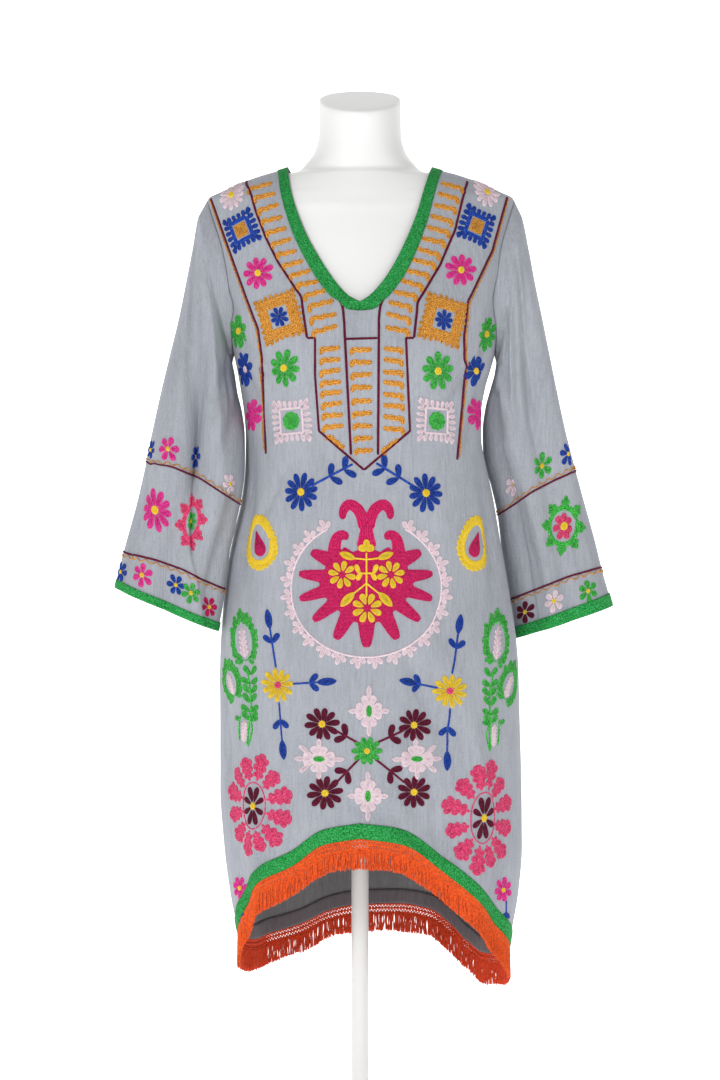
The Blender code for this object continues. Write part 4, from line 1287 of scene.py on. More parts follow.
class Chart:
    """A flat map of a cloth surface, in metres: s to the viewer's right, v upwards."""

    def __init__(self, surface, angles, levels, heights, span):
        self.surface = surface
        self.heights = heights
        self.levels = levels
        self.s = np.arange(-span, span + MAP_STEP, MAP_STEP)
        grid = surface(angles[None, :], levels[:, None])
        step = np.linalg.norm(np.diff(grid, axis=1), axis=2)
        run = np.concatenate([np.zeros((len(levels), 1)), np.cumsum(step, axis=1)], axis=1)
        run -= run[:, [len(angles) // 2]]
        self.angles = np.array([np.interp(self.s, row, angles) for row in run])
        shown = np.abs(angles) < 1.75
        self.seen_s = run[:, shown].ravel()
        self.seen_v = np.repeat(heights, shown.sum())
        self.seen_x, self.seen_y = photo_pixel(grid[:, shown].reshape(-1, 3))

    def locate(self, s, v):
        """Angle and level of a place on the map."""
        row = np.interp(v, self.heights, np.arange(len(self.heights)))
        low = np.clip(row.astype(int), 0, len(self.heights) - 2)
        place = np.clip((s - self.s[0]) / MAP_STEP, 0, len(self.s) - 1.001)
        left = place.astype(int)
        f, g = row - low, place - left
        below = self.angles[low, left] * (1 - g) + self.angles[low, left + 1] * g
        above = self.angles[low + 1, left] * (1 - g) + self.angles[low + 1, left + 1] * g
        return below * (1 - f) + above * f, np.interp(v, self.heights, self.levels)

    def lifted(self, s, v, lift):
        """Points at a height above the cloth."""
        points = self.surface(*self.locate(s, v))
        east, west = (self.surface(*self.locate(s + step, v)) for step in (TILT_STEP, -TILT_STEP))
        north, south = (self.surface(*self.locate(s, v + step)) for step in (TILT_STEP, -TILT_STEP))
        across, upward = east - west, north - south
        return points + unit(np.cross(across, upward)) * lift[:, None]

    def spot(self, x, y):
        """The place on the map that the photograph shows at a pixel."""
        away = (self.seen_x - x) ** 2 + (self.seen_y - y) ** 2
        k = int(np.argmin(away))
        place = np.array([self.seen_s[k], self.seen_v[k]])
        for _ in range(2):
            probe = place + np.array([[0, 0], [MAP_STEP, 0], [0, MAP_STEP]])
            at = self.surface(*self.locate(probe[:, 0], probe[:, 1]))
            px, py = photo_pixel(at)
            slope = np.array([[px[1] - px[0], px[2] - px[0]], [py[1] - py[0], py[2] - py[0]]])
            if abs(np.linalg.det(slope)) < 0.3:
                break
            move = np.linalg.solve(slope, [x - px[0], y - py[0]]) * MAP_STEP
            place = place + np.clip(move, -0.004, 0.004)
        return place


def photo_pixel(points):
    """Where the photograph shows a point."""
    shrink = CAMERA_DISTANCE / (CAMERA_DISTANCE + points[..., 1]) / METRES_PER_PIXEL
    x = PHOTO_WIDTH / 2 + points[..., 0] * shrink
    return x, PHOTO_HEIGHT / 2 - (points[..., 2] - CAMERA_HEIGHT) * shrink


def body_chart():
    levels = np.arange(0.30, NECK_POINT_Z + 0.006, 0.005)
    return Chart(body_point, np.linspace(-np.pi, np.pi, 721), levels, levels, 0.46)


def sleeve_chart(sign):
    """The sleeve's map: its middle runs down the front of the sleeve."""
    last = len(LEFT_SLEEVE) - 1

    def surface(angle, t):
        return sleeve_ring(sign, t, (QUARTER - sign * angle) % (2 * np.pi))

    levels = np.linspace(last, 0.0, 121)
    front = surface(np.zeros(levels.shape), levels)
    return Chart(surface, np.linspace(-np.pi, np.pi, 361), levels, distances(front), 0.26)


class Stitching:
    """Collects raised stitching on one cloth by colour and makes a piece of each colour."""

    def __init__(self, name, chart):
        self.name = name
        self.chart = chart
        self.blocks = {}
        self.counts = {}

    def keep(self, colour, grid, lift, stitch, closed=False):
        """Adds a grid of places; rows run forward and columns to the right, or inwards."""
        first = self.counts.get(colour, 0)
        rows, columns = grid.shape[:2]
        faces = [tuple(quad) for quad in grid_faces(rows, columns, first)]
        if closed:
            faces.append(tuple(first + (rows - 1) * columns + k for k in range(columns - 1)))
        block = (grid.reshape(-1, 2), lift.ravel(), stitch.reshape(-1, 3), faces)
        self.blocks.setdefault(colour, []).append(block)
        self.counts[colour] = first + rows * columns

    def blob(self, colour, centre, outline, base=0.0, height=THREAD_LIFT, rows=False):
        """A filled shape, its outline given by offsets from its middle.

        It is stitched round and round, or in straight rows that lie flat up to the rim.
        """
        ring = np.concatenate([outline, outline[:1]])
        reach = np.linalg.norm(ring, axis=1).mean()
        rings = max(int(round(reach / GRID_STEP)), 2)
        rolled = 1 - np.array([0, 0.28, 0.75]) * EDGE_ROLL / reach
        f = np.concatenate([rolled, np.linspace(1 - EDGE_ROLL * 1.5 / reach, 0.10, rings)])
        run = distances(ring)
        run *= max(round(run[-1] / STITCH_LENGTH / 2) * 2, 2) / run[-1]
        grid = centre + ring[None] * f[:, None, None]
        away = (1 - f[:, None]) * np.linalg.norm(ring, axis=1)[None]
        lift = base + height * np.sqrt(np.clip(1 - (1 - np.clip(away / EDGE_ROLL, 0, 1)) ** 2, 0, 1))
        lift[0] = base - 0.0003
        across = away / STITCH_ROW
        stitch = np.stack(np.broadcast_arrays(run[None], across, 0.0), axis=-1)
        if rows:
            level = grid - centre
            run, across = level[..., 0] / STITCH_LENGTH, level[..., 1] / STITCH_ROW
            stitch = np.stack([run, across, 0 * lift], axis=-1)
        self.keep(colour, grid, lift, stitch, closed=True)

    def line(self, colour, route, width, rows=1, base=0.0, height=THREAD_LIFT, curved=True):
        """Rows of stitching along a route, with rounded ends; the width may change along it."""
        path, share = fine_route(np.asarray(route, float), curved)
        widths = np.interp(share, np.linspace(0, 1, np.size(width)), np.atleast_1d(width))
        run = distances(path)
        ends = np.minimum(run, run[-1] - run) / (np.maximum(widths, 1e-6) / 2)
        cap = np.sqrt(np.clip(1 - (1 - np.clip(ends, 0, 1)) ** 2, 0.02, 1))
        forward = unit(np.gradient(path, axis=0) + 1e-12)
        right = np.stack([forward[:, 1], -forward[:, 0]], axis=-1)
        samples = 5 if rows == 1 else 2 * rows + 3
        k = np.linspace(-1, 1, samples)
        grid = path[:, None] + right[:, None] * (k[None, :] * (widths * cap / 2)[:, None])[..., None]
        lift = base + height * (1 - k**4)[None, :] * np.sqrt(cap)[:, None]
        lift[:, 0] = lift[:, -1] = base - 0.0003
        across = (k + 1) / 2 * rows
        stitch = np.stack(np.broadcast_arrays(run[:, None] / STITCH_LENGTH, across, 0.0), axis=-1)
        self.keep(colour, grid, lift, stitch)

    def finish(self, threads):
        """Makes a piece of each colour and returns them."""
        pieces = []
        for colour, blocks in self.blocks.items():
            places = np.concatenate([block[0] for block in blocks])
            lift = np.concatenate([block[1] for block in blocks])
            stitch = np.concatenate([block[2] for block in blocks])
            faces = [face for block in blocks for face in block[3]]
            points = self.chart.lifted(places[:, 0], places[:, 1], lift)
            piece = add_mesh(f"{self.name}_{colour}", points, faces, threads[colour], stitch)
            pieces.append(piece)
        return pieces


def fine_route(route, curved):
    """A route resampled at even short steps, and each point's share of the way."""
    if curved and len(route) > 2:
        padded = np.concatenate([[2 * route[0] - route[1]], route, [2 * route[-1] - route[-2]]])
        f = np.linspace(0, 1, 12, endpoint=False)[:, None]
        parts = []
        for a, b, c, d in zip(padded, padded[1:], padded[2:], padded[3:]):
            bend = (2 * a - 5 * b + 4 * c - d) + f * (3 * (b - c) + d - a)
            parts.append(b + 0.5 * f * ((c - a) + f * bend))
        route = np.concatenate([*parts, route[-1:]])
    run = distances(route)
    count = max(int(np.ceil(run[-1] / GRID_STEP)), 4)
    at = np.linspace(0, run[-1], count + 1)
    return at_distances(at, run, route), at / max(run[-1], 1e-9)


def turned(vectors, angle):
    """Offsets turned anticlockwise by an angle in radians."""
    cosine, sine = np.cos(angle), np.sin(angle)
    return np.asarray(vectors, float) @ np.array([[cosine, sine], [-sine, cosine]])


def heading(angle):
    return np.array([np.cos(angle), np.sin(angle)])


def ellipse(angle, reach_x, reach_y):
    """Places round an oval at angles in radians."""
    return np.stack([np.cos(angle) * reach_x, np.sin(angle) * reach_y], axis=-1)


def oval(length, width, taper=0.0, count=18):
    """Outline of a petal or leaf along x; taper above 0 makes the far end fuller."""
    a = np.arange(count) * 2 * np.pi / count
    return np.stack([length / 2 * np.cos(a), width / 2 * np.sin(a) * (1 + taper * np.cos(a))], axis=-1)


def pointed(length, width, count=20):
    """Outline of a leaf along x, pointed at both ends."""
    a = np.arange(count) * 2 * np.pi / count
    half = width / 2 * np.sign(np.sin(a)) * np.abs(np.sin(a)) ** 1.5
    return np.stack([length / 2 * np.cos(a), half], axis=-1)


def lobed(radius, lobes, depth, turn=0.0):
    """Outline of a round shape with rounded lobes."""
    count = max(8 * lobes, 24)
    a = np.arange(count) * 2 * np.pi / count
    r = radius * (1 - depth + depth * np.abs(np.cos(lobes * a / 2)) ** 0.7)
    return turned(ellipse(a, r, r), turn)


def petal(work, colour, root, tip, width, taper=0.25, base=0.0):
    """A filled petal between two places."""
    root, tip = np.asarray(root), np.asarray(tip)
    reach = tip - root
    outline = oval(np.hypot(*reach), width, taper)
    work.blob(colour, (root + tip) / 2, turned(outline, np.arctan2(reach[1], reach[0])), base)


def leaf(work, colour, root, angle, length, width, base=0.0):
    outline = turned(pointed(length, width), angle)
    work.blob(colour, np.asarray(root) + heading(angle) * length / 2, outline, base)


def disc(work, colour, centre, radius, base=0.0):
    work.blob(colour, centre, lobed(radius, 3, 0.0), base)


def daisy(work, colour, eye, centre, size, petals, turn=0.3, squeeze=1.0, eye_share=0.21):
    """Separate rounded petals round an eye; squeeze narrows it sideways where cloth is gathered."""
    outer, inner = size / 2, size * 0.08
    width = min(2 * np.pi * outer * 0.54 / petals, size * 0.25)
    for k in range(petals):
        uneven = 1 + 0.06 * np.sin(5 * k + size * 900)
        away = heading(turn + k * 2 * np.pi / petals) * np.array([squeeze, 1]) * uneven
        petal(work, colour, centre + away * inner, centre + away * outer, width, 0.42)
    disc(work, eye, centre, size * eye_share / 2, 0.0006)


def toothed_square(work, colour, centre, size, turn, teeth, frame, thick, tooth):
    """A square frame with short fat loops standing straight out from it, close together."""
    corners = np.array([(1, 1), (-1, 1), (-1, -1), (1, -1), (1, 1)])
    route = centre + turned(corners * size / 2 * frame, turn)
    work.line(colour, route, size * thick, 2, curved=False)
    for side in range(4):
        angle = turn + side * QUARTER
        for k in range(teeth):
            across = (2 * (k + 0.5) / teeth - 1) * size / 2
            root = np.array([size / 2 * frame, across * 0.80])
            longer = 0.97 + 0.06 * np.sin(7 * k + 3 * side)
            tip = np.array([size / 2 * longer, across * 1.02])
            petal(work, colour, centre + turned(root, angle), centre + turned(tip, angle),
                  size * tooth, 0.35)


def filled_square(work, colour, centre, size, turn, teeth=8):
    """A thick square ring of close rows with a ragged toothed outer edge."""
    corners = np.array([(1, 1), (-1, 1), (-1, -1), (1, -1), (1, 1)])
    for share in (0.54, 0.68, 0.82):
        route = centre + turned(corners * size / 2 * share, turn)
        work.line(colour, route, 0.0062, 3, curved=False)
    for side in range(4):
        angle = turn + side * QUARTER
        for k in range(teeth):
            across = (2 * k / (teeth - 1) - 1) * size / 2 * 0.92
            root = np.array([size * 0.38, across * 0.97])
            tip = np.array([size * (0.52 + 0.02 * np.sin(5 * k + side)), across * 1.04])
            petal(work, colour, centre + turned(root, angle), centre + turned(tip, angle),
                  size * 0.095, 0.0)


def bone_rung(work, colour, centre, turn, width, mirror=1):
    """A fat wavy bar that rises towards the neck, its lower end turned down a little."""
    shape = np.array([(-0.47, -0.21), (-0.45, 0.00), (-0.28, 0.06), (-0.10, 0.01), (0.08, 0.06),
                      (0.24, 0.01), (0.38, 0.04), (0.45, -0.04)])
    route = centre + turned(shape * width * np.array([mirror, 1]), turn)
    thick = np.array([0.0054, 0.0068, 0.0078, 0.0062, 0.0076, 0.0060, 0.0070, 0.0054])
    work.line(colour, route, thick, 3)


def rungs_between(work, colour, left, right, count, rise=0.0, mirror=1):
    """Bone rungs set across a band whose two edges are given as routes; rise is in degrees."""
    left, right = fine_route(left, True)[0], fine_route(right, True)[0]
    for k, f in enumerate((np.arange(count) + 0.5) / count):
        a = left[int(f * (len(left) - 1))]
        b = right[int(f * (len(right) - 1))]
        turn = np.radians(rise + 3 * np.sin(4.0 * k))
        width = np.hypot(*(b - a)) * 0.70
        bone_rung(work, colour, (a + b) / 2, turn, width, mirror)


def leaf_pair(work, colour, at, angle, length, width, spread=0.75):
    """Two capsule leaves that rise from a stem on either side."""
    for side in (-1, 1):
        tip = at + heading(angle + side * spread) * length
        petal(work, colour, at, tip, width, 0.3)


def arrow_sprig(work, colour, root, tip, pair_share):
    """A stem with one pair of leaves and a long pointed tip leaf."""
    root, tip = np.asarray(root), np.asarray(tip)
    reach = tip - root
    length = np.hypot(*reach)
    angle = np.arctan2(reach[1], reach[0])
    tip_leaf = 0.0255
    work.line(colour, [root, root + reach * (1 - tip_leaf / length * 0.9)], 0.0028)
    leaf_pair(work, colour, root + reach * pair_share, angle, 0.0152, 0.0074)
    leaf(work, colour, tip - heading(angle) * tip_leaf, angle, tip_leaf, 0.0100)


def paisley(work, centre, width, height, lean):
    """A fat scalloped oval ring round a bare field with a leaning crimson drop."""
    t = np.linspace(0, 2 * np.pi, 29)[:-1]
    ring = np.stack([np.cos(t) * (1 - 0.16 * np.sin(t)), np.sin(t)], axis=-1)
    ring = np.concatenate([ring, ring[:1]]) * np.array([width, height]) / 2
    work.line("yellow", centre + turned(ring * 0.80, lean), 0.0082, 4)
    path, _ = fine_route(ring * 0.97, True)
    for k in range(0, len(path) - 3, 5):
        disc(work, "yellow", centre + turned(path[k], lean), 0.0039 + 0.0005 * np.sin(k))
    drop = np.stack([np.cos(t) * (1 - 0.80 * np.sin(t)), np.sin(t)], axis=-1)
    drop = drop * np.array([width * 0.145, height * 0.25]) + np.array([0, -height * 0.03])
    work.blob("crimson", centre, turned(drop, lean * 1.6), 0.0001)


class Stroke(NamedTuple):
    """A place on a stroke's middle line and its width, as shares of the medallion's reach."""

    x: float
    y: float
    width: float


# Around the medallion, degrees away from straight up and reach as a share of the lowest lobe's
LOBES = [(0, 0.44), (24, 0.44), (38, 0.56), (50, 0.65), (65, 0.90), (76, 0.63), (86, 1.00), (97, 0.70),
         (107, 1.03), (117, 0.66), (128, 0.99), (140, 0.63), (153, 0.99), (166, 0.66), (180, 1.00)]
HORN = [Stroke(0.02, 0.70, 0.20), Stroke(0.06, 0.88, 0.185), Stroke(0.14, 1.02, 0.175),
        Stroke(0.255, 1.075, 0.170), Stroke(0.335, 0.99, 0.145), Stroke(0.350, 0.86, 0.090)]
HOOK = [Stroke(0.46, 0.28, 0.30), Stroke(0.465, 0.45, 0.205), Stroke(0.430, 0.585, 0.180),
        Stroke(0.345, 0.635, 0.155), Stroke(0.270, 0.575, 0.115)]


def medallion_reach(angle):
    """How far the medallion's edge lies from its middle, lobes rounded and notches soft."""
    off = np.degrees(np.abs((angle - QUARTER + np.pi) % (2 * np.pi) - np.pi))
    places, reaches = np.array(LOBES, float).T
    k = np.clip(np.searchsorted(places, off, side="right") - 1, 0, len(places) - 2)
    f = (off - places[k]) / (places[k + 1] - places[k])
    rising = reaches[k + 1] > reaches[k]
    from_tip = np.where(rising, 1 - f, f)
    high = np.maximum(reaches[k], reaches[k + 1])
    low = np.minimum(reaches[k], reaches[k + 1])
    fall = np.clip((from_tip - 0.13) / 0.74, 0, 1)
    return low + (high - low) * (0.5 + 0.5 * np.cos(fall * np.pi)) - 0.05 * np.minimum(from_tip, 0.4) ** 2


def stroke(work, colour, centre, side, strokes, size, rows, base=0.0):
    route = [centre + np.array([side * point.x, point.y]) * size for point in strokes]
    widths = np.array([point.width for point in strokes]) * size
    work.line(colour, route, widths, rows, base)


def medallion(work, centre, radius):
    """Crimson body with eleven lobes, a stem with two horns, and a hooked scroll on each side."""
    a = np.arange(480) * 2 * np.pi / 480
    reach = medallion_reach(a) * radius
    work.blob("crimson", centre, ellipse(a, reach, reach), rows=True)
    stem = [Stroke(0, 0.40, 0.42), Stroke(0, 0.52, 0.27), Stroke(0, 0.68, 0.20), Stroke(0, 0.84, 0.22)]
    stroke(work, "crimson", centre, 1, stem, radius, 6)
    for side in (-1, 1):
        stroke(work, "crimson", centre, side, HORN, radius, 6)
        stroke(work, "crimson", centre, side, HOOK, radius, 6)


def medallion_sprig(work, centre, radius):
    """Yellow branch worked over the medallion: bud, side arms, three flowers, lower branches."""
    lift = 0.0011

    def at(x, y):
        return centre + np.array([x, y]) * radius

    work.line("yellow", [at(0, 0.38), at(0, -0.28)], 0.0026, 1, lift)
    for angle, reach in ((0.55, 0.13), (QUARTER, 0.17), (np.pi - 0.55, 0.13)):
        root = at(0, 0.40)
        petal(work, "yellow", root, root + heading(angle) * radius * reach, radius * 0.10, 0.3, lift)
    for side in (-1, 1):
        work.line("yellow", [at(0, 0.275), at(side * 0.18, 0.295)], 0.0024, 1, lift)
        leaf(work, "yellow", at(side * 0.16, 0.285), QUARTER - side * (QUARTER - 0.36),
             radius * 0.25, radius * 0.11, lift)
        flower(work, at(side * 0.355, 0.055), radius * 0.205, lift, 8, side * 0.2)
        bracket = [at(side * 0.155, 0.205), at(side * 0.115, 0.10), at(side * 0.09, 0.06),
                   at(side * 0.115, 0.02), at(side * 0.135, -0.03)]
        work.line("yellow", bracket, np.array([0.0060, 0.0068, 0.0044, 0.0068, 0.0060]), 3, lift)
        branch = [at(0, -0.07), at(side * 0.10, -0.15), at(side * 0.20, -0.23)]
        work.line("yellow", branch, 0.0024, 1, lift)
        leaf(work, "yellow", at(side * 0.175, -0.20), QUARTER - side * (QUARTER + 0.80),
             radius * 0.29, radius * 0.125, lift)
    work.line("yellow", [at(-0.09, 0.075), at(0.09, 0.075)], 0.0026, 1, lift)
    flower(work, at(0.01, -0.43), radius * 0.225, lift, 8, 0.39)


def flower(work, centre, radius, lift, petals, turn):
    """A yellow flower whose eye is left in the crimson ground."""
    for k in range(petals):
        away = heading(turn + k * 2 * np.pi / petals)
        petal(work, "yellow", centre + away * radius * 0.24, centre + away * radius,
              radius * 0.40, 0.4, lift)


def bud_ring(work, colour, centre, reach_x, reach_y, start, buds):
    """An open ring with small three-petal buds standing on its outside."""
    a = np.linspace(QUARTER + start, QUARTER + 2 * np.pi - start, 90)
    work.line(colour, centre + ellipse(a, reach_x, reach_y), 0.0026)
    for k in range(buds):
        angle = QUARTER + start + (k + 0.15) / (buds - 0.7) * (2 * np.pi - 2 * start)
        root = centre + ellipse(angle, reach_x, reach_y)
        out = np.arctan2(np.sin(angle) * reach_x, np.cos(angle) * reach_y) + 0.12 * np.sin(3.0 * k)
        for lean, length in ((-0.88, 0.0122), (0.0, 0.0152), (0.88, 0.0122)):
            petal(work, colour, root + heading(out + lean) * 0.0016,
                  root + heading(out + lean) * length, 0.0066, 0.25)


def pale_star(work, centre, width, height, long_tip):
    """Pale lobed flower with pointed arms and a green oval in the middle."""
    body = np.array([width, height]) * 0.40
    work.blob("pale_pink", centre, oval(body[0] * 1.05, body[1] * 1.05), -0.0002)
    for k in range(8):
        away = heading(k * np.pi / 4 + np.pi / 8) * body * 0.95
        petal(work, "pale_pink", centre + away * 0.30, centre + away, 0.0094, 0.35)
    for k in range(4):
        away = heading(k * QUARTER) * body
        petal(work, "pale_pink", centre + away * 0.30, centre + away * 1.02, 0.0092, 0.1, 0.0001)
        leaf(work, "pale_pink", centre + away * 0.78, k * QUARTER, np.hypot(*away) * 0.66,
             0.0068, 0.0001)
    if long_tip:
        for lean in (-0.62, 0.62):
            angle = (0 if long_tip > 0 else np.pi) + lean
            root = centre + heading(angle) * body * 0.62
            petal(work, "pale_pink", root, root + heading(angle) * 0.0175, 0.0062, 0.3)
    turn = 0 if width > height else QUARTER
    work.blob("green", centre, turned(oval(0.0145, 0.0072), turn), 0.0009)


def coral_rosette(work, colour, centre, width, height, core):
    """Branching tufts that radiate from an outlined oval core with a small dark flower."""
    half = np.array([width, height]) / 2
    a = np.linspace(0, 2 * np.pi, 40)
    work.line(colour, centre + ellipse(a, *core), 0.0018)
    count = 12
    for k in range(count):
        angle = (k + 0.5) * 2 * np.pi / count
        out = heading(angle)
        uneven = 0.85 + 0.05 * np.sin(4 * k + width * 60)
        root, tip = centre + out * core * 1.10, centre + out * half * uneven
        work.line(colour, [root, (root + tip) / 2, tip], np.array([0.0036, 0.0062, 0.0070]), 2)
        reach = tip - root
        length, aim = np.hypot(*reach), np.arctan2(reach[1], reach[0])
        for share, spread, part in ((0.18, 0.80, 0.30), (0.42, 0.80, 0.46), (0.68, 0.74, 0.56)):
            for side in (-1, 1):
                start = root + reach * share
                end = start + heading(aim + side * spread) * length * part
                petal(work, colour, start, end, 0.0078, 0.35, 0.0001)
        for spread in (-0.45, 0.0, 0.45):
            end = tip + heading(aim + spread) * length * 0.30
            petal(work, colour, tip - reach * 0.1, end, 0.0074, 0.3, 0.0001)
    petals = 8
    for k in range(petals):
        away = heading(0.39 + k * 2 * np.pi / petals) * core * 0.88
        petal(work, "maroon", centre + away * 0.20, centre + away, core[0] * 0.38, 0.45, 0.0001)
    work.blob("yellow", centre, oval(core[0] * 0.42, core[1] * 0.32), 0.0006)


class Wreath(NamedTuple):
    """Leaves round a pale feathered bud, as shares of the spray's height."""

    x: float
    y: float
    half_width: float
    half_height: float
    tilt: float


WREATHS = [Wreath(0.000, 0.265, 0.128, 0.200, 0.16), Wreath(-0.145, -0.060, 0.108, 0.150, 0.52)]


def feather(work, foot, aim, length, width):
    """A pale leaf made of slanting stitches on either side of its rib."""
    work.line("pale_pink", [foot, foot + heading(aim) * length * 0.7], 0.0018)
    for share in np.linspace(0.04, 0.70, 5):
        start = foot + heading(aim) * length * share
        reach = length * 0.27 * (1 - 0.35 * share)
        for side in (-1, 1):
            petal(work, "pale_pink", start, start + heading(aim + side * 0.62) * reach, width, 0.2)
    leaf(work, "pale_pink", foot + heading(aim) * length * 0.55, aim, length * 0.45, width * 1.1)


def leafy_spray(work, centre, height, mirror):
    """Two leaf wreaths with pale feathered buds on one stem, and a third bud low down."""

    def at(x, y):
        return centre + np.array([x * mirror, y]) * height

    stem = [at(0.050, -0.52), at(0.060, -0.36), at(0.070, -0.18), at(0.035, 0.06)]
    work.line("green", stem, 0.0028)
    for wreath in WREATHS:
        core, lean = at(wreath.x, wreath.y), wreath.tilt * mirror
        half = np.array([wreath.half_width, wreath.half_height]) * height
        for side in (-1, 1):
            a = np.linspace(-QUARTER, QUARTER, 14)
            rim = ellipse(a, side * half[0], half[1]) * 0.74
            work.line("green", core + turned(rim, lean), 0.0018)
            for k in range(9):
                angle = -1.30 + k * 0.335
                root = ellipse(angle, side * half[0], half[1]) * 0.72
                aim = QUARTER - side * (1.10 - 0.11 * k + 0.18 * np.sin(3.0 * k + side))
                root = core + turned(root, lean)
                reach = 0.0138 + 0.0014 * np.sin(2.0 * k + side)
                petal(work, "green", root, root + heading(aim + lean) * reach, 0.0066, 0.35)
                low = root - turned([0, half[1] * 0.07], lean)
                short = heading(aim + lean - side * 0.80) * reach * 0.66
                petal(work, "green", low, low + short, 0.0062, 0.35)
        tip = core + turned([0, half[1] * 0.74], lean)
        petal(work, "green", tip, tip + heading(QUARTER + lean) * 0.0175, 0.0062, 0.2)
        bud = half[1] * 1.24
        feather(work, core - turned([0, bud * 0.54], lean), QUARTER + lean, bud, 0.0044)
    for k, y in enumerate((-0.33, -0.27, -0.20, -0.13, -0.06, 0.01)):
        for side in (-1, 1):
            root = at(0.062 + 0.004 * np.sin(3 * k), y)
            aim = QUARTER - side * (0.85 + 0.2 * np.sin(2.0 * k))
            petal(work, "green", root, root + heading(aim) * 0.0150, 0.0074, 0.35)
    feather(work, at(0.020, -0.50), QUARTER, height * 0.17, 0.0046)
    for x, low in ((0.075, -0.53), (-0.030, -0.49)):
        work.line("green", [at(x * 0.8, low), at(x * 1.15, -0.40), at(x * 0.7, -0.30)], 0.0030)
        petal(work, "green", at(x * 0.8, -0.34), at(x * 2.1 - 0.02, -0.31), 0.0060, 0.3)


LIGHT_AIM = (0, 0, 0.85)
WALL_DISTANCE = 3.4
WALL_HEIGHT = 5.0
SWEEP_RADIUS = 1.2
STAGE_HALF = 6


def make_camera():
    data = bpy.data.cameras.new("photo_camera")
    data.sensor_width = SENSOR
    data.sensor_fit = "AUTO"
    data.lens = CAMERA_DISTANCE * SENSOR / (PHOTO_HEIGHT * METRES_PER_PIXEL)
    camera = bpy.data.objects.new("photo_camera", data)
    camera.location = (0, -CAMERA_DISTANCE, CAMERA_HEIGHT)
    camera.rotation_euler = (QUARTER, 0, 0)
    bpy.context.scene.collection.objects.link(camera)
    bpy.context.scene.camera = camera


def make_light(name, place, size, power):
    data = bpy.data.lights.new(name, "AREA")
    data.shape = "RECTANGLE"
    data.size, data.size_y = size
    data.energy = power
    light = bpy.data.objects.new(name, data)
    light.location = place
    light.rotation_euler = (Vector(LIGHT_AIM) - Vector(place)).to_track_quat("-Z", "Y").to_euler()
    bpy.context.scene.collection.objects.link(light)
    return light


def make_paper():
    """White paper with a soft glow, which is clear from behind."""
    paper = bpy.data.materials.new("studio_paper")
    paper.use_nodes = True
    nodes, links = paper.node_tree.nodes, paper.node_tree.links
    shader = nodes["Principled BSDF"]
    shader.inputs["Base Color"].default_value = (0.93, 0.93, 0.93, 1)
    shader.inputs["Roughness"].default_value = 0.9
    shader.inputs["Emission Color"].default_value = (1, 1, 1, 1)
    shader.inputs["Emission Strength"].default_value = 0.80
    clear, side = nodes.new("ShaderNodeBsdfTransparent"), nodes.new("ShaderNodeNewGeometry")
    choice = nodes.new("ShaderNodeMixShader")
    links.new(side.outputs["Backfacing"], choice.inputs["Fac"])
    links.new(shader.outputs["BSDF"], choice.inputs[1])
    links.new(clear.outputs["BSDF"], choice.inputs[2])
    links.new(choice.outputs["Shader"], nodes["Material Output"].inputs["Surface"])
    return paper


def make_stage():
    """A pale floor that sweeps up into a pale wall, under soft light."""
    foot = WALL_DISTANCE - SWEEP_RADIUS
    profile = [(-STAGE_HALF, 0), (foot, 0)]
    for a in np.linspace(0.1, QUARTER, 10):
        profile.append((foot + SWEEP_RADIUS * np.sin(a), SWEEP_RADIUS * (1 - np.cos(a))))
    profile.append((WALL_DISTANCE, WALL_HEIGHT))
    points = [(x, y, z) for x in (-STAGE_HALF, STAGE_HALF) for y, z in profile]
    count = len(profile)
    faces = [(k, count + k, count + k + 1, k + 1) for k in range(count - 1)]
    floor = add_mesh("studio_floor", points, faces, make_paper())
    world = bpy.data.worlds.new("studio_air")
    world.use_nodes = True
    air = world.node_tree.nodes["Background"]
    air.inputs["Color"].default_value = (1, 1, 1, 1)
    air.inputs["Strength"].default_value = 0.40
    bpy.context.scene.world = world
    lights = [
        make_light("key_light", (-1.5, -2.9, 2.4), (1.0, 1.0), 46),
        make_light("fill_light", (2.6, -2.4, 2.6), (1.3, 1.3), 14),
        make_light("rear_light", (1.6, 2.6, 3.0), (1.2, 1.2), 5),
    ]


def settle(piece):
    """The piece moves with the whole object."""
    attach(piece, "root")
    return piece


make_camera()
make_stage()

cloth = crepe_cloth("grey_crepe", (0.45, 0.47, 0.52), (0.25, 0.265, 0.30))
# painted shade: a darker copy of the grey crepe for the inner side of every cloth wall
shaded_inside_cloth = crepe_cloth("grey_crepe_inside_painted_shade", (0.24, 0.24, 0.25), (0.12, 0.12, 0.125))
# the green thread's tones: on the loops, painted shade in the grooves, painted glints
green_tones = (0.016, 0.42, 0.068), (0.002, 0.12, 0.015), (0.16, 0.76, 0.30)
green_thread = chain_stitch("green_stitching", *green_tones)
facing_cloth = crepe_cloth("dark_facing_tape", (0.17, 0.15, 0.16), (0.09, 0.08, 0.085))
yarns = {
    "front": twisted_yarn("orange_yarn", (0.92, 0.115, 0.008), (0.40, 0.028, 0.003)),
    # painted shade: the back fringe, which hangs behind in shade, gets a darker, redder copy of the
    # orange yarn
    "back": twisted_yarn("orange_yarn_painted_shade", (0.78, 0.060, 0.008), (0.32, 0.014, 0.003)),
}
form_paint = smooth_shell("form_shell", (0.84, 0.84, 0.83), (0.81, 0.81, 0.80), 700.0, 0.42)
stand_enamel = smooth_shell("stand_enamel", (0.80, 0.80, 0.79), (0.76, 0.76, 0.75), 500.0, 0.3)

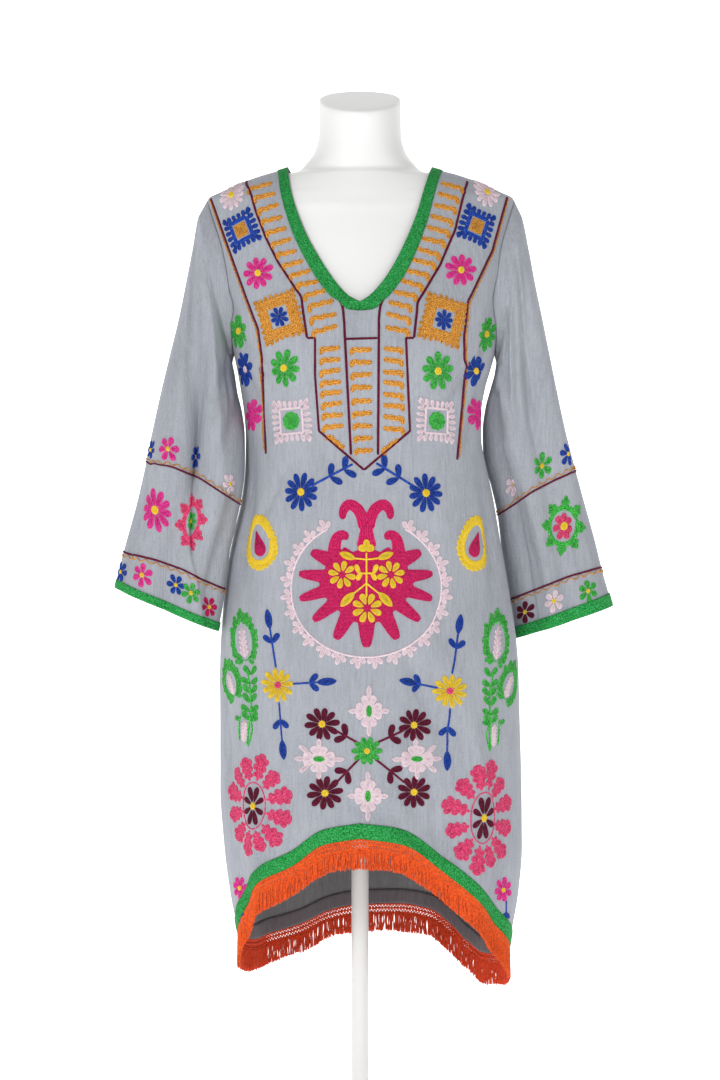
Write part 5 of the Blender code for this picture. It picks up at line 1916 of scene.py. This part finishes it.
phi = np.arange(2 * ARMHOLE_LEVELS * ROWS_PER_LEVEL) * np.pi / (ARMHOLE_LEVELS * ROWS_PER_LEVEL)
seams = {sign: armhole_seam(sign, phi) for sign in (-1, 1)}
sheets, bands = {}, {}
for back, side in ((False, "front"), (True, "back")):
    sheet, panel = make_panel(f"{side}_cloth", back, seams, cloth, shaded_inside_cloth)
    sheets[side] = sheet
    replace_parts(settle(panel), f"{side}_panel")
    neck = make_band(f"{side}_neck_stitching", sheet, neck_blocks(sheet, back), green_thread, back)
    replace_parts(settle(neck), f"neck_band_{side}")
    hem = make_band(f"{side}_hem_stitching", sheet, [hem_block(sheet)], green_thread, back)
    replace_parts(settle(hem), f"hem_band_{side}")
    fringe = make_fringe(f"{side}_hem_fringe", hem_line(sheet, back), yarns[side], 11 + back)
    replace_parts(settle(fringe), f"fringe_{side}")
    bands[side] = [neck, hem, fringe]
    if back:
        facing = make_band("hem_facing_tape", sheet, [hem_block(sheet)], facing_cloth, back, True)
        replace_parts(settle(facing), "hem_facing_back")
        bands[side].append(facing)
    bands[side + "_cloth"] = panel

for sign, side in ((-1, "left"), (1, "right")):
    sheet, sleeve = make_sleeve(f"{side}_sleeve_cloth", sign, phi, seams[sign], cloth, shaded_inside_cloth)
    sheets[side] = sheet
    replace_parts(settle(sleeve), f"{side}_sleeve")
    cuff = make_band(f"{side}_cuff_stitching", sheet, [cuff_block(sheet)], green_thread)
    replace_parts(settle(cuff), f"{side}_cuff_band")
    bands[side] = [cuff]
    bands[side + "_cloth"] = sleeve

form = make_dress_form(form_paint)
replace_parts(settle(form), "dress_form")
for name in ("stand_pole", "stand_foot"):
    node = frame["nodes"][name]
    node.data.materials.clear()
    node.data.materials.append(stand_enamel)


class Bloom(NamedTuple):
    """A daisy: the photo pixel of its eye, its true size, petals and how it is turned."""

    colour: str
    eye: str
    x: float
    y: float
    size: float
    petals: int
    turn: float


BODY_BLOOMS = [
    Bloom("pale_pink", "yellow", 231, 195, 0.040, 11, 0.1),
    Bloom("pale_pink", "yellow", 487, 192, 0.040, 11, 0.4),
    Bloom("magenta", "yellow", 258, 273, 0.043, 9, 0.35),
    Bloom("magenta", "yellow", 461, 270, 0.043, 9, 0.1),
    Bloom("green", "yellow", 284, 368, 0.045, 9, 0.6),
    Bloom("green", "yellow", 438, 371, 0.046, 9, 0.2),
    Bloom("green", "yellow", 239, 331, 0.044, 8, 0.2),
    Bloom("green", "yellow", 486, 334, 0.044, 9, 0.5),
    Bloom("blue", "pale_pink", 246, 369, 0.044, 8, 0.15),
    Bloom("blue", "yellow", 476, 371, 0.042, 8, 0.4),
    Bloom("magenta", "magenta", 252, 415, 0.042, 7, 0.5),
    Bloom("magenta", "magenta", 477, 414, 0.042, 7, 0.1),
    Bloom("blue", "yellow", 301, 492, 0.047, 11, 0.2),
    Bloom("blue", "yellow", 426, 493, 0.047, 11, 0.5),
    Bloom("yellow", "rose", 278, 685, 0.043, 11, 0.1),
    Bloom("yellow", "rose", 450, 691, 0.043, 11, 0.3),
    Bloom("maroon", "yellow", 322, 724, 0.043, 10, 0.1),
    Bloom("maroon", "yellow", 414, 725, 0.043, 10, 0.2),
    Bloom("maroon", "yellow", 325, 793, 0.044, 10, 0.15),
    Bloom("maroon", "yellow", 414, 792, 0.043, 10, 0.3),
    Bloom("green", "yellow", 367, 751, 0.037, 10, 0.0),
    Bloom("magenta", "yellow", 240, 888, 0.030, 7, 0.2),
    Bloom("magenta", "yellow", 503, 890, 0.032, 7, 0.5),
]
LEFT_SLEEVE_BLOOMS = [
    Bloom("magenta", "yellow", 168, 449, 0.030, 6, 0.52),
    Bloom("blue", "yellow", 196, 457, 0.029, 6, 0.3),
    Bloom("pale_pink", "yellow", 230, 484, 0.027, 6, 0.5),
    Bloom("blue", "yellow", 151, 450, 0.024, 6, 0.1),
    Bloom("magenta", "yellow", 155, 510, 0.048, 10, 0.2),
    Bloom("blue", "yellow", 121, 572, 0.027, 6, 0.1),
    Bloom("magenta", "yellow", 142, 575, 0.029, 6, 0.6),
    Bloom("blue", "yellow", 176, 585, 0.026, 6, 0.2),
    Bloom("green", "yellow", 191, 593, 0.027, 6, 0.5),
    Bloom("crimson", "yellow", 209, 607, 0.026, 6, 0.3),
]
RIGHT_SLEEVE_BLOOMS = [
    Bloom("pale_pink", "yellow", 514, 484, 0.029, 6, 0.3),
    Bloom("green", "yellow", 542, 466, 0.031, 6, 0.1),
    Bloom("blue", "yellow", 568, 454, 0.027, 6, 0.5),
    Bloom("maroon", "yellow", 525, 612, 0.029, 6, 0.3),
    Bloom("pale_pink", "yellow", 554, 601, 0.029, 6, 0.1),
    Bloom("green", "yellow", 588, 591, 0.028, 6, 0.4),
]


class Block(NamedTuple):
    """A toothed square: the photo pixel of its middle, its true size and its turn in degrees."""

    colour: str
    x: float
    y: float
    size: float
    degrees: float
    heart: str


BLOCKS = [
    Block("blue", 241, 230, 0.049, 22, "ochre"),
    Block("blue", 477, 226, 0.049, -20, "ochre"),
    Block("ochre", 279, 317, 0.058, 16, "blue"),
    Block("ochre", 444, 320, 0.058, -14, "blue"),
    Block("pale_pink", 291, 421, 0.055, 4, "green"),
    Block("pale_pink", 437, 421, 0.055, -3, "green"),
]

# Photo pixels along the lines of the yoke
YOKE_OUTER_LEFT = [(211, 198), (226, 241), (246, 297), (258, 329), (262, 356), (266, 454)]
YOKE_OUTER_RIGHT = [(507, 197), (492, 251), (468, 302), (464, 337), (465, 372), (457, 460)]
YOKE_INNER_LEFT = [(247, 181), (256, 212), (266, 238), (278, 262), (301, 297), (307, 338)]
YOKE_LOW_LEFT = [(307, 338), (315, 338), (315, 375), (319, 431), (364, 470)]
YOKE_LOW_RIGHT = [(364, 470), (410, 431), (406, 338), (414, 338)]
YOKE_INNER_RIGHT = [(414, 338), (418, 302), (440, 265), (455, 230), (467, 181)]
STRIP_LEFT = [(328, 289), (336, 296), (342, 305), (344, 320), (345, 339), (351, 455)]
STRIP_RIGHT = [(421, 230), (409, 256), (398, 277), (387, 293), (381, 304), (379, 318), (378, 455)]
CROSSBAR = [(345, 339), (378, 338)]
NECK_LEFT = [(276, 186), (289, 230), (305, 264), (328, 290), (341, 304)]
NECK_RIGHT = [(437, 184), (421, 230), (409, 256), (393, 285), (383, 302)]
END_RUNGS = [(336, 443, -38), (391, 446, 38)]


class Strip(NamedTuple):
    """A strip of the yoke: photo pixels along its edges, its rungs, their rise and which way."""

    left: list
    right: list
    rungs: int
    rise: float
    mirror: int


STRIPS = [
    Strip(YOKE_INNER_LEFT, [*NECK_LEFT, (344, 318), (345, 336)], 14, 14, 1),
    Strip([*NECK_RIGHT, (379, 318), (379, 336)], YOKE_INNER_RIGHT[::-1], 14, -14, -1),
    Strip([(316, 345), (316, 375), (319, 433)], [(345, 345), (346, 375), (349, 433)], 8, 6, 1),
    Strip([(379, 345), (378, 375), (378, 440)], [(406, 345), (407, 375), (408, 432)], 8, -6, -1),
    Strip([(346, 345), (348, 400), (352, 458)], [(377, 345), (377, 400), (377, 458)], 9, 2, 1),
]

# Photo pixels of the middle: the stems' roots, tips and leaf pairs, then the middles of motifs
DAISY_STEMS = [
    ((311, 486), (353, 464), ((330, 477), (344, 470))),
    ((415, 487), (376, 463), ((399, 478), (385, 469))),
]
MEDALLION_MIDDLE = (366.5, 578.5)
MEDALLION_RADIUS = 0.0851
BUD_RING_MIDDLE = (366.5, 588.5)
PAISLEYS = [(258.5, 542, 0.20), (476, 543, -0.20)]

# Photo pixels of the skirt: roots and tips of stems with the share where leaves stand, then
# the middles of motifs with their true width and height
SPRIGS = [
    ((276, 668), (267, 609), 0.42), ((290, 684), (337, 681), 0.42), ((279, 702), (284, 760), 0.30),
    ((452, 674), (461, 614), 0.42), ((438, 688), (399, 680), 0.42), ((450, 708), (447, 771), 0.30),
]
CROSS_STEMS = [
    ((333, 729), (360, 744)), ((404, 730), (374, 744)),
    ((335, 784), (360, 758)), ((405, 783), (374, 758)),
]
CROSS_MIDDLE = (367, 751)
PALE_STARS = [
    (369, 711, 0.045, 0.055, 0), (368, 796, 0.045, 0.055, 0),
    (319, 759, 0.056, 0.045, -1), (417, 759, 0.056, 0.045, 1),
]
ROSETTES = [(253, 806, 0.108, 0.132, (0.017, 0.029)), (484, 818, 0.110, 0.146, (0.019, 0.032))]
SPRAYS = [(243, 676, 0.165, 1), (497, 678, 0.172, -1)]
HEM_SPRIGS = [(240, 900, -1), (506, 903, 1)]


class SleeveWork(NamedTuple):
    """A sleeve's two lines with the wavy line's offset, and its ring: photo pixels, true reach."""

    lines: list
    ring_colour: str
    heart: str
    x: float
    y: float
    reach_x: float
    reach_y: float


LEFT_SLEEVE_WORK = SleeveWork(
    [([(150, 464), (170, 466), (187, 473), (201, 479)], 0.0042),
     ([(126, 553), (156, 560), (184, 570), (203, 580)], -0.0042)],
    "rose", "green", 190, 521, 0.024, 0.036,
)
RIGHT_SLEEVE_WORK = SleeveWork(
    [([(506, 510), (532, 492), (555, 480), (574, 472)], 0.0042),
     ([(514, 598), (547, 585), (570, 576), (602, 567)], -0.0042)],
    "green", "rose", 564, 526, 0.034, 0.036,
)


def route_on(work, pixels):
    """A route over the cloth through places in the photograph, kept true between them."""
    fine = []
    for (x, y), (next_x, next_y) in zip(pixels, pixels[1:]):
        steps = max(int(np.hypot(next_x - x, next_y - y) / ROUTE_PIXELS), 1)
        fine += [(x + (next_x - x) * k / steps, y + (next_y - y) * k / steps) for k in range(steps)]
    return [work.chart.spot(x, y) for x, y in [*fine, pixels[-1]]]


def beside(route, distance):
    """A route moved to its right."""
    path, _ = fine_route(np.asarray(route, float), True)
    forward = unit(np.gradient(path, axis=0))
    return path[::4] + np.stack([forward[::4, 1], -forward[::4, 0]], axis=-1) * distance


def wavy(route, length, height, steps=4):
    """A route that swings from side to side in even waves."""
    path, _ = fine_route(np.asarray(route, float), True)
    run = distances(path)
    at = np.linspace(0, run[-1], max(int(run[-1] / length * steps), 4))
    forward = unit(np.gradient(path, axis=0))
    swing = np.sin(at / length * 2 * np.pi) * height
    spots, ahead = at_distances(at, run, path), at_distances(at, run, forward)
    right = np.stack([ahead[:, 1], -ahead[:, 0]], axis=-1)
    return spots + right * swing[:, None]


def sew_blooms(work, blooms):
    for bloom in blooms:
        centre = work.chart.spot(bloom.x, bloom.y)
        daisy(work, bloom.colour, bloom.eye, centre, bloom.size, bloom.petals, bloom.turn)


def sew_yoke(work):
    for pixels in (YOKE_OUTER_LEFT, YOKE_OUTER_RIGHT, YOKE_INNER_LEFT, YOKE_INNER_RIGHT,
                   STRIP_LEFT, STRIP_RIGHT):
        work.line("maroon", route_on(work, pixels), 0.0033, 2, 0.0002)
    for pixels in (YOKE_LOW_LEFT, YOKE_LOW_RIGHT, CROSSBAR):
        work.line("maroon", route_on(work, pixels), 0.0030, 2, 0.0002, curved=False)
    for pixels, side in ((YOKE_OUTER_LEFT, 1), (YOKE_OUTER_RIGHT, -1)):
        work.line("ochre", beside(route_on(work, pixels), side * 0.0033), 0.0018)
    for strip in STRIPS:
        left, right = route_on(work, strip.left), route_on(work, strip.right)
        rungs_between(work, "ochre", left, right, strip.rungs, strip.rise, strip.mirror)
    for x, y, degrees in END_RUNGS:
        bone_rung(work, "ochre", work.chart.spot(x, y), np.radians(degrees), 0.026)


SOFT_SQUARE = np.array(
    [(1, 1), (0, 1.05), (-1, 1), (-1.05, 0), (-1, -1), (0, -1.05), (1, -1), (1.05, 0)]
)


def sew_blocks(work):
    for block in BLOCKS:
        centre = work.chart.spot(block.x, block.y)
        turn = np.radians(block.degrees)
        if block.colour == "ochre":
            filled_square(work, block.colour, centre, block.size, turn)
        elif block.colour == "blue":
            toothed_square(work, block.colour, centre, block.size, turn, 6, 0.54, 0.13, 0.118)
        else:
            toothed_square(work, block.colour, centre, block.size, turn, 7, 0.56, 0.055, 0.092)
        if block.heart == "ochre":
            side = block.size * 0.36
            work.blob("ochre", centre, turned(SOFT_SQUARE * side / 2, turn), 0.0002)
        elif block.heart == "blue":
            daisy(work, "blue", "blue", centre, block.size * 0.44, 8, turn + 0.2)
        else:
            work.blob("green", centre, lobed(block.size * 0.215, 9, 0.14, turn), 0.0002)


def sew_middle(work):
    """The blue daisies' stems, the medallion with its ring of buds, and the paisleys."""
    for root, tip, pairs in DAISY_STEMS:
        start, end = work.chart.spot(*root), work.chart.spot(*tip)
        work.line("blue", [start, end], 0.0034)
        reach = end - start
        for x, y in pairs:
            at = work.chart.spot(x, y)
            leaf_pair(work, "blue", at, np.arctan2(reach[1], reach[0]), 0.0175, 0.0082, 0.95)
    middle = work.chart.spot(*MEDALLION_MIDDLE)
    medallion(work, middle, MEDALLION_RADIUS)
    medallion_sprig(work, middle, MEDALLION_RADIUS)
    bud_ring(work, "pale_pink", work.chart.spot(*BUD_RING_MIDDLE), 0.0960, 0.0850, 0.52, 24)
    for x, y, lean in PAISLEYS:
        paisley(work, work.chart.spot(x, y), 0.0500, 0.0660, lean)


def sew_lower(work):
    for root, tip, share in SPRIGS:
        arrow_sprig(work, "blue", work.chart.spot(*root), work.chart.spot(*tip), share)
    for root, tip in CROSS_STEMS:
        start, end = work.chart.spot(*root), work.chart.spot(*tip)
        work.line("maroon", [start, end], 0.0032)
        reach = start - end
        angle = np.arctan2(reach[1], reach[0])
        leaf_pair(work, "maroon", end + reach * 0.50, angle, 0.0165, 0.0082, -0.85)
    for x, y, width, height, long_tip in PALE_STARS:
        pale_star(work, work.chart.spot(x, y), width, height, long_tip)
    middle = work.chart.spot(*CROSS_MIDDLE)
    for k in range(9):
        away = heading(k * 2 * np.pi / 9)
        petal(work, "green", middle + away * 0.005, middle + away * 0.013, 0.0070, 0.2, 0.0003)
    for x, y, width, height, core in ROSETTES:
        coral_rosette(work, "rose", work.chart.spot(x, y), width, height, np.array(core))
    for x, y, height, mirror in SPRAYS:
        leafy_spray(work, work.chart.spot(x, y), height, mirror)
    for x, y, side in HEM_SPRIGS:
        root = work.chart.spot(x, y)
        end = root + np.array([side * 0.002, -0.024])
        work.line("blue", [root + np.array([0, 0.004]), end], 0.0022)
        leaf_pair(work, "blue", root + np.array([side * 0.001, -0.012]), -QUARTER, 0.012, 0.0055)
        leaf(work, "blue", end, -QUARTER, 0.013, 0.0062)


def sleeve_line(work, pixels, drop):
    """A maroon line with a thin wavy ochre line beside it, all round the sleeve."""
    route = np.array(route_on(work, pixels))
    v = route[:, 1].mean()
    left, right = route[0], route[-1]
    s = np.linspace(-0.25, 0.25, 60)
    level = np.interp(s, route[:, 0], route[:, 1], left[1], right[1])
    whole = np.stack([s, level], axis=-1)
    limit = half_round(work.chart, v)
    whole = whole[np.abs(s) <= limit]
    work.line("maroon", whole, 0.0027, 1, 0.0002)
    work.line("ochre", wavy(whole + np.array([0, drop]), 0.014, 0.0017), 0.0015)


def half_round(chart, v):
    """Half of the distance round the cloth at a height on the map."""
    row = int(np.argmin(np.abs(chart.heights - v)))
    return chart.s[np.abs(chart.angles[row]) < 3.13].max()


def sew_sleeve(work, plan, blooms):
    for pixels, drop in plan.lines:
        sleeve_line(work, pixels, drop)
    sew_blooms(work, blooms)
    centre = work.chart.spot(plan.x, plan.y)
    ring_medallion(work, plan.ring_colour, plan.heart, centre, plan.reach_x, plan.reach_y)


def ring_medallion(work, colour, heart, centre, reach_x, reach_y):
    """A flower inside a ring of close rows, with rounded buds standing outside the ring."""
    a = np.linspace(0, 2 * np.pi, 50)
    work.line(colour, centre + ellipse(a, reach_x, reach_y) * 0.62, 0.0072, 3)
    for k in range(8):
        angle = k * 2 * np.pi / 8 + 0.39
        root = centre + heading(angle) * np.array([reach_x, reach_y]) * 0.68
        for lean in (-0.8, 0, 0.8):
            length = 0.0115 if lean == 0 else 0.0085
            petal(work, colour, root, root + heading(angle + lean) * length, 0.0062, 0.3)
    daisy(work, heart, "yellow", centre, reach_x * 1.02, 7, 0.3, 0.85, 0.30)


# Thread tones: on the loops, painted shade in the grooves between them, and painted glints
THREADS = {
    "green": ((0.050, 0.54, 0.060), (0.005, 0.20, 0.015), (0.24, 0.78, 0.25)),
    "ochre": ((0.78, 0.315, 0.036), (0.34, 0.105, 0.010), (0.98, 0.60, 0.17)),
    "blue": ((0.012, 0.058, 0.42), (0.003, 0.018, 0.17), (0.06, 0.17, 0.66)),
    "magenta": ((0.98, 0.030, 0.35), (0.62, 0.008, 0.18), (0.98, 0.20, 0.52)),
    "rose": ((0.92, 0.060, 0.20), (0.56, 0.016, 0.09), (0.98, 0.24, 0.38)),
    "crimson": ((0.70, 0.010, 0.12), (0.36, 0.003, 0.052), (0.80, 0.06, 0.24)),
    "maroon": ((0.135, 0.004, 0.030), (0.055, 0.001, 0.011), (0.30, 0.03, 0.08)),
    "pale_pink": ((1.0, 0.80, 0.87), (0.88, 0.61, 0.70), (1.0, 0.92, 0.95)),
    "yellow": ((1.0, 0.72, 0.022), (1.0, 0.54, 0.012), (1.0, 0.80, 0.22)),
}
threads = {name: chain_stitch(f"{name}_thread", *tones) for name, tones in THREADS.items()}

front_work = Stitching("front", body_chart())
sew_yoke(front_work)
sew_blocks(front_work)
sew_blooms(front_work, BODY_BLOOMS)
sew_middle(front_work)
sew_lower(front_work)

left_work = Stitching("left_sleeve", sleeve_chart(-1))
sew_sleeve(left_work, LEFT_SLEEVE_WORK, LEFT_SLEEVE_BLOOMS)
right_work = Stitching("right_sleeve", sleeve_chart(1))
sew_sleeve(right_work, RIGHT_SLEEVE_WORK, RIGHT_SLEEVE_BLOOMS)

for work, side in ((front_work, "front"), (left_work, "left"), (right_work, "right")):
    for piece in work.finish(threads):
        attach(piece, "root")
        bands[side].append(piece)

for side in ("left", "right"):
    bands[side + "_cloth"]
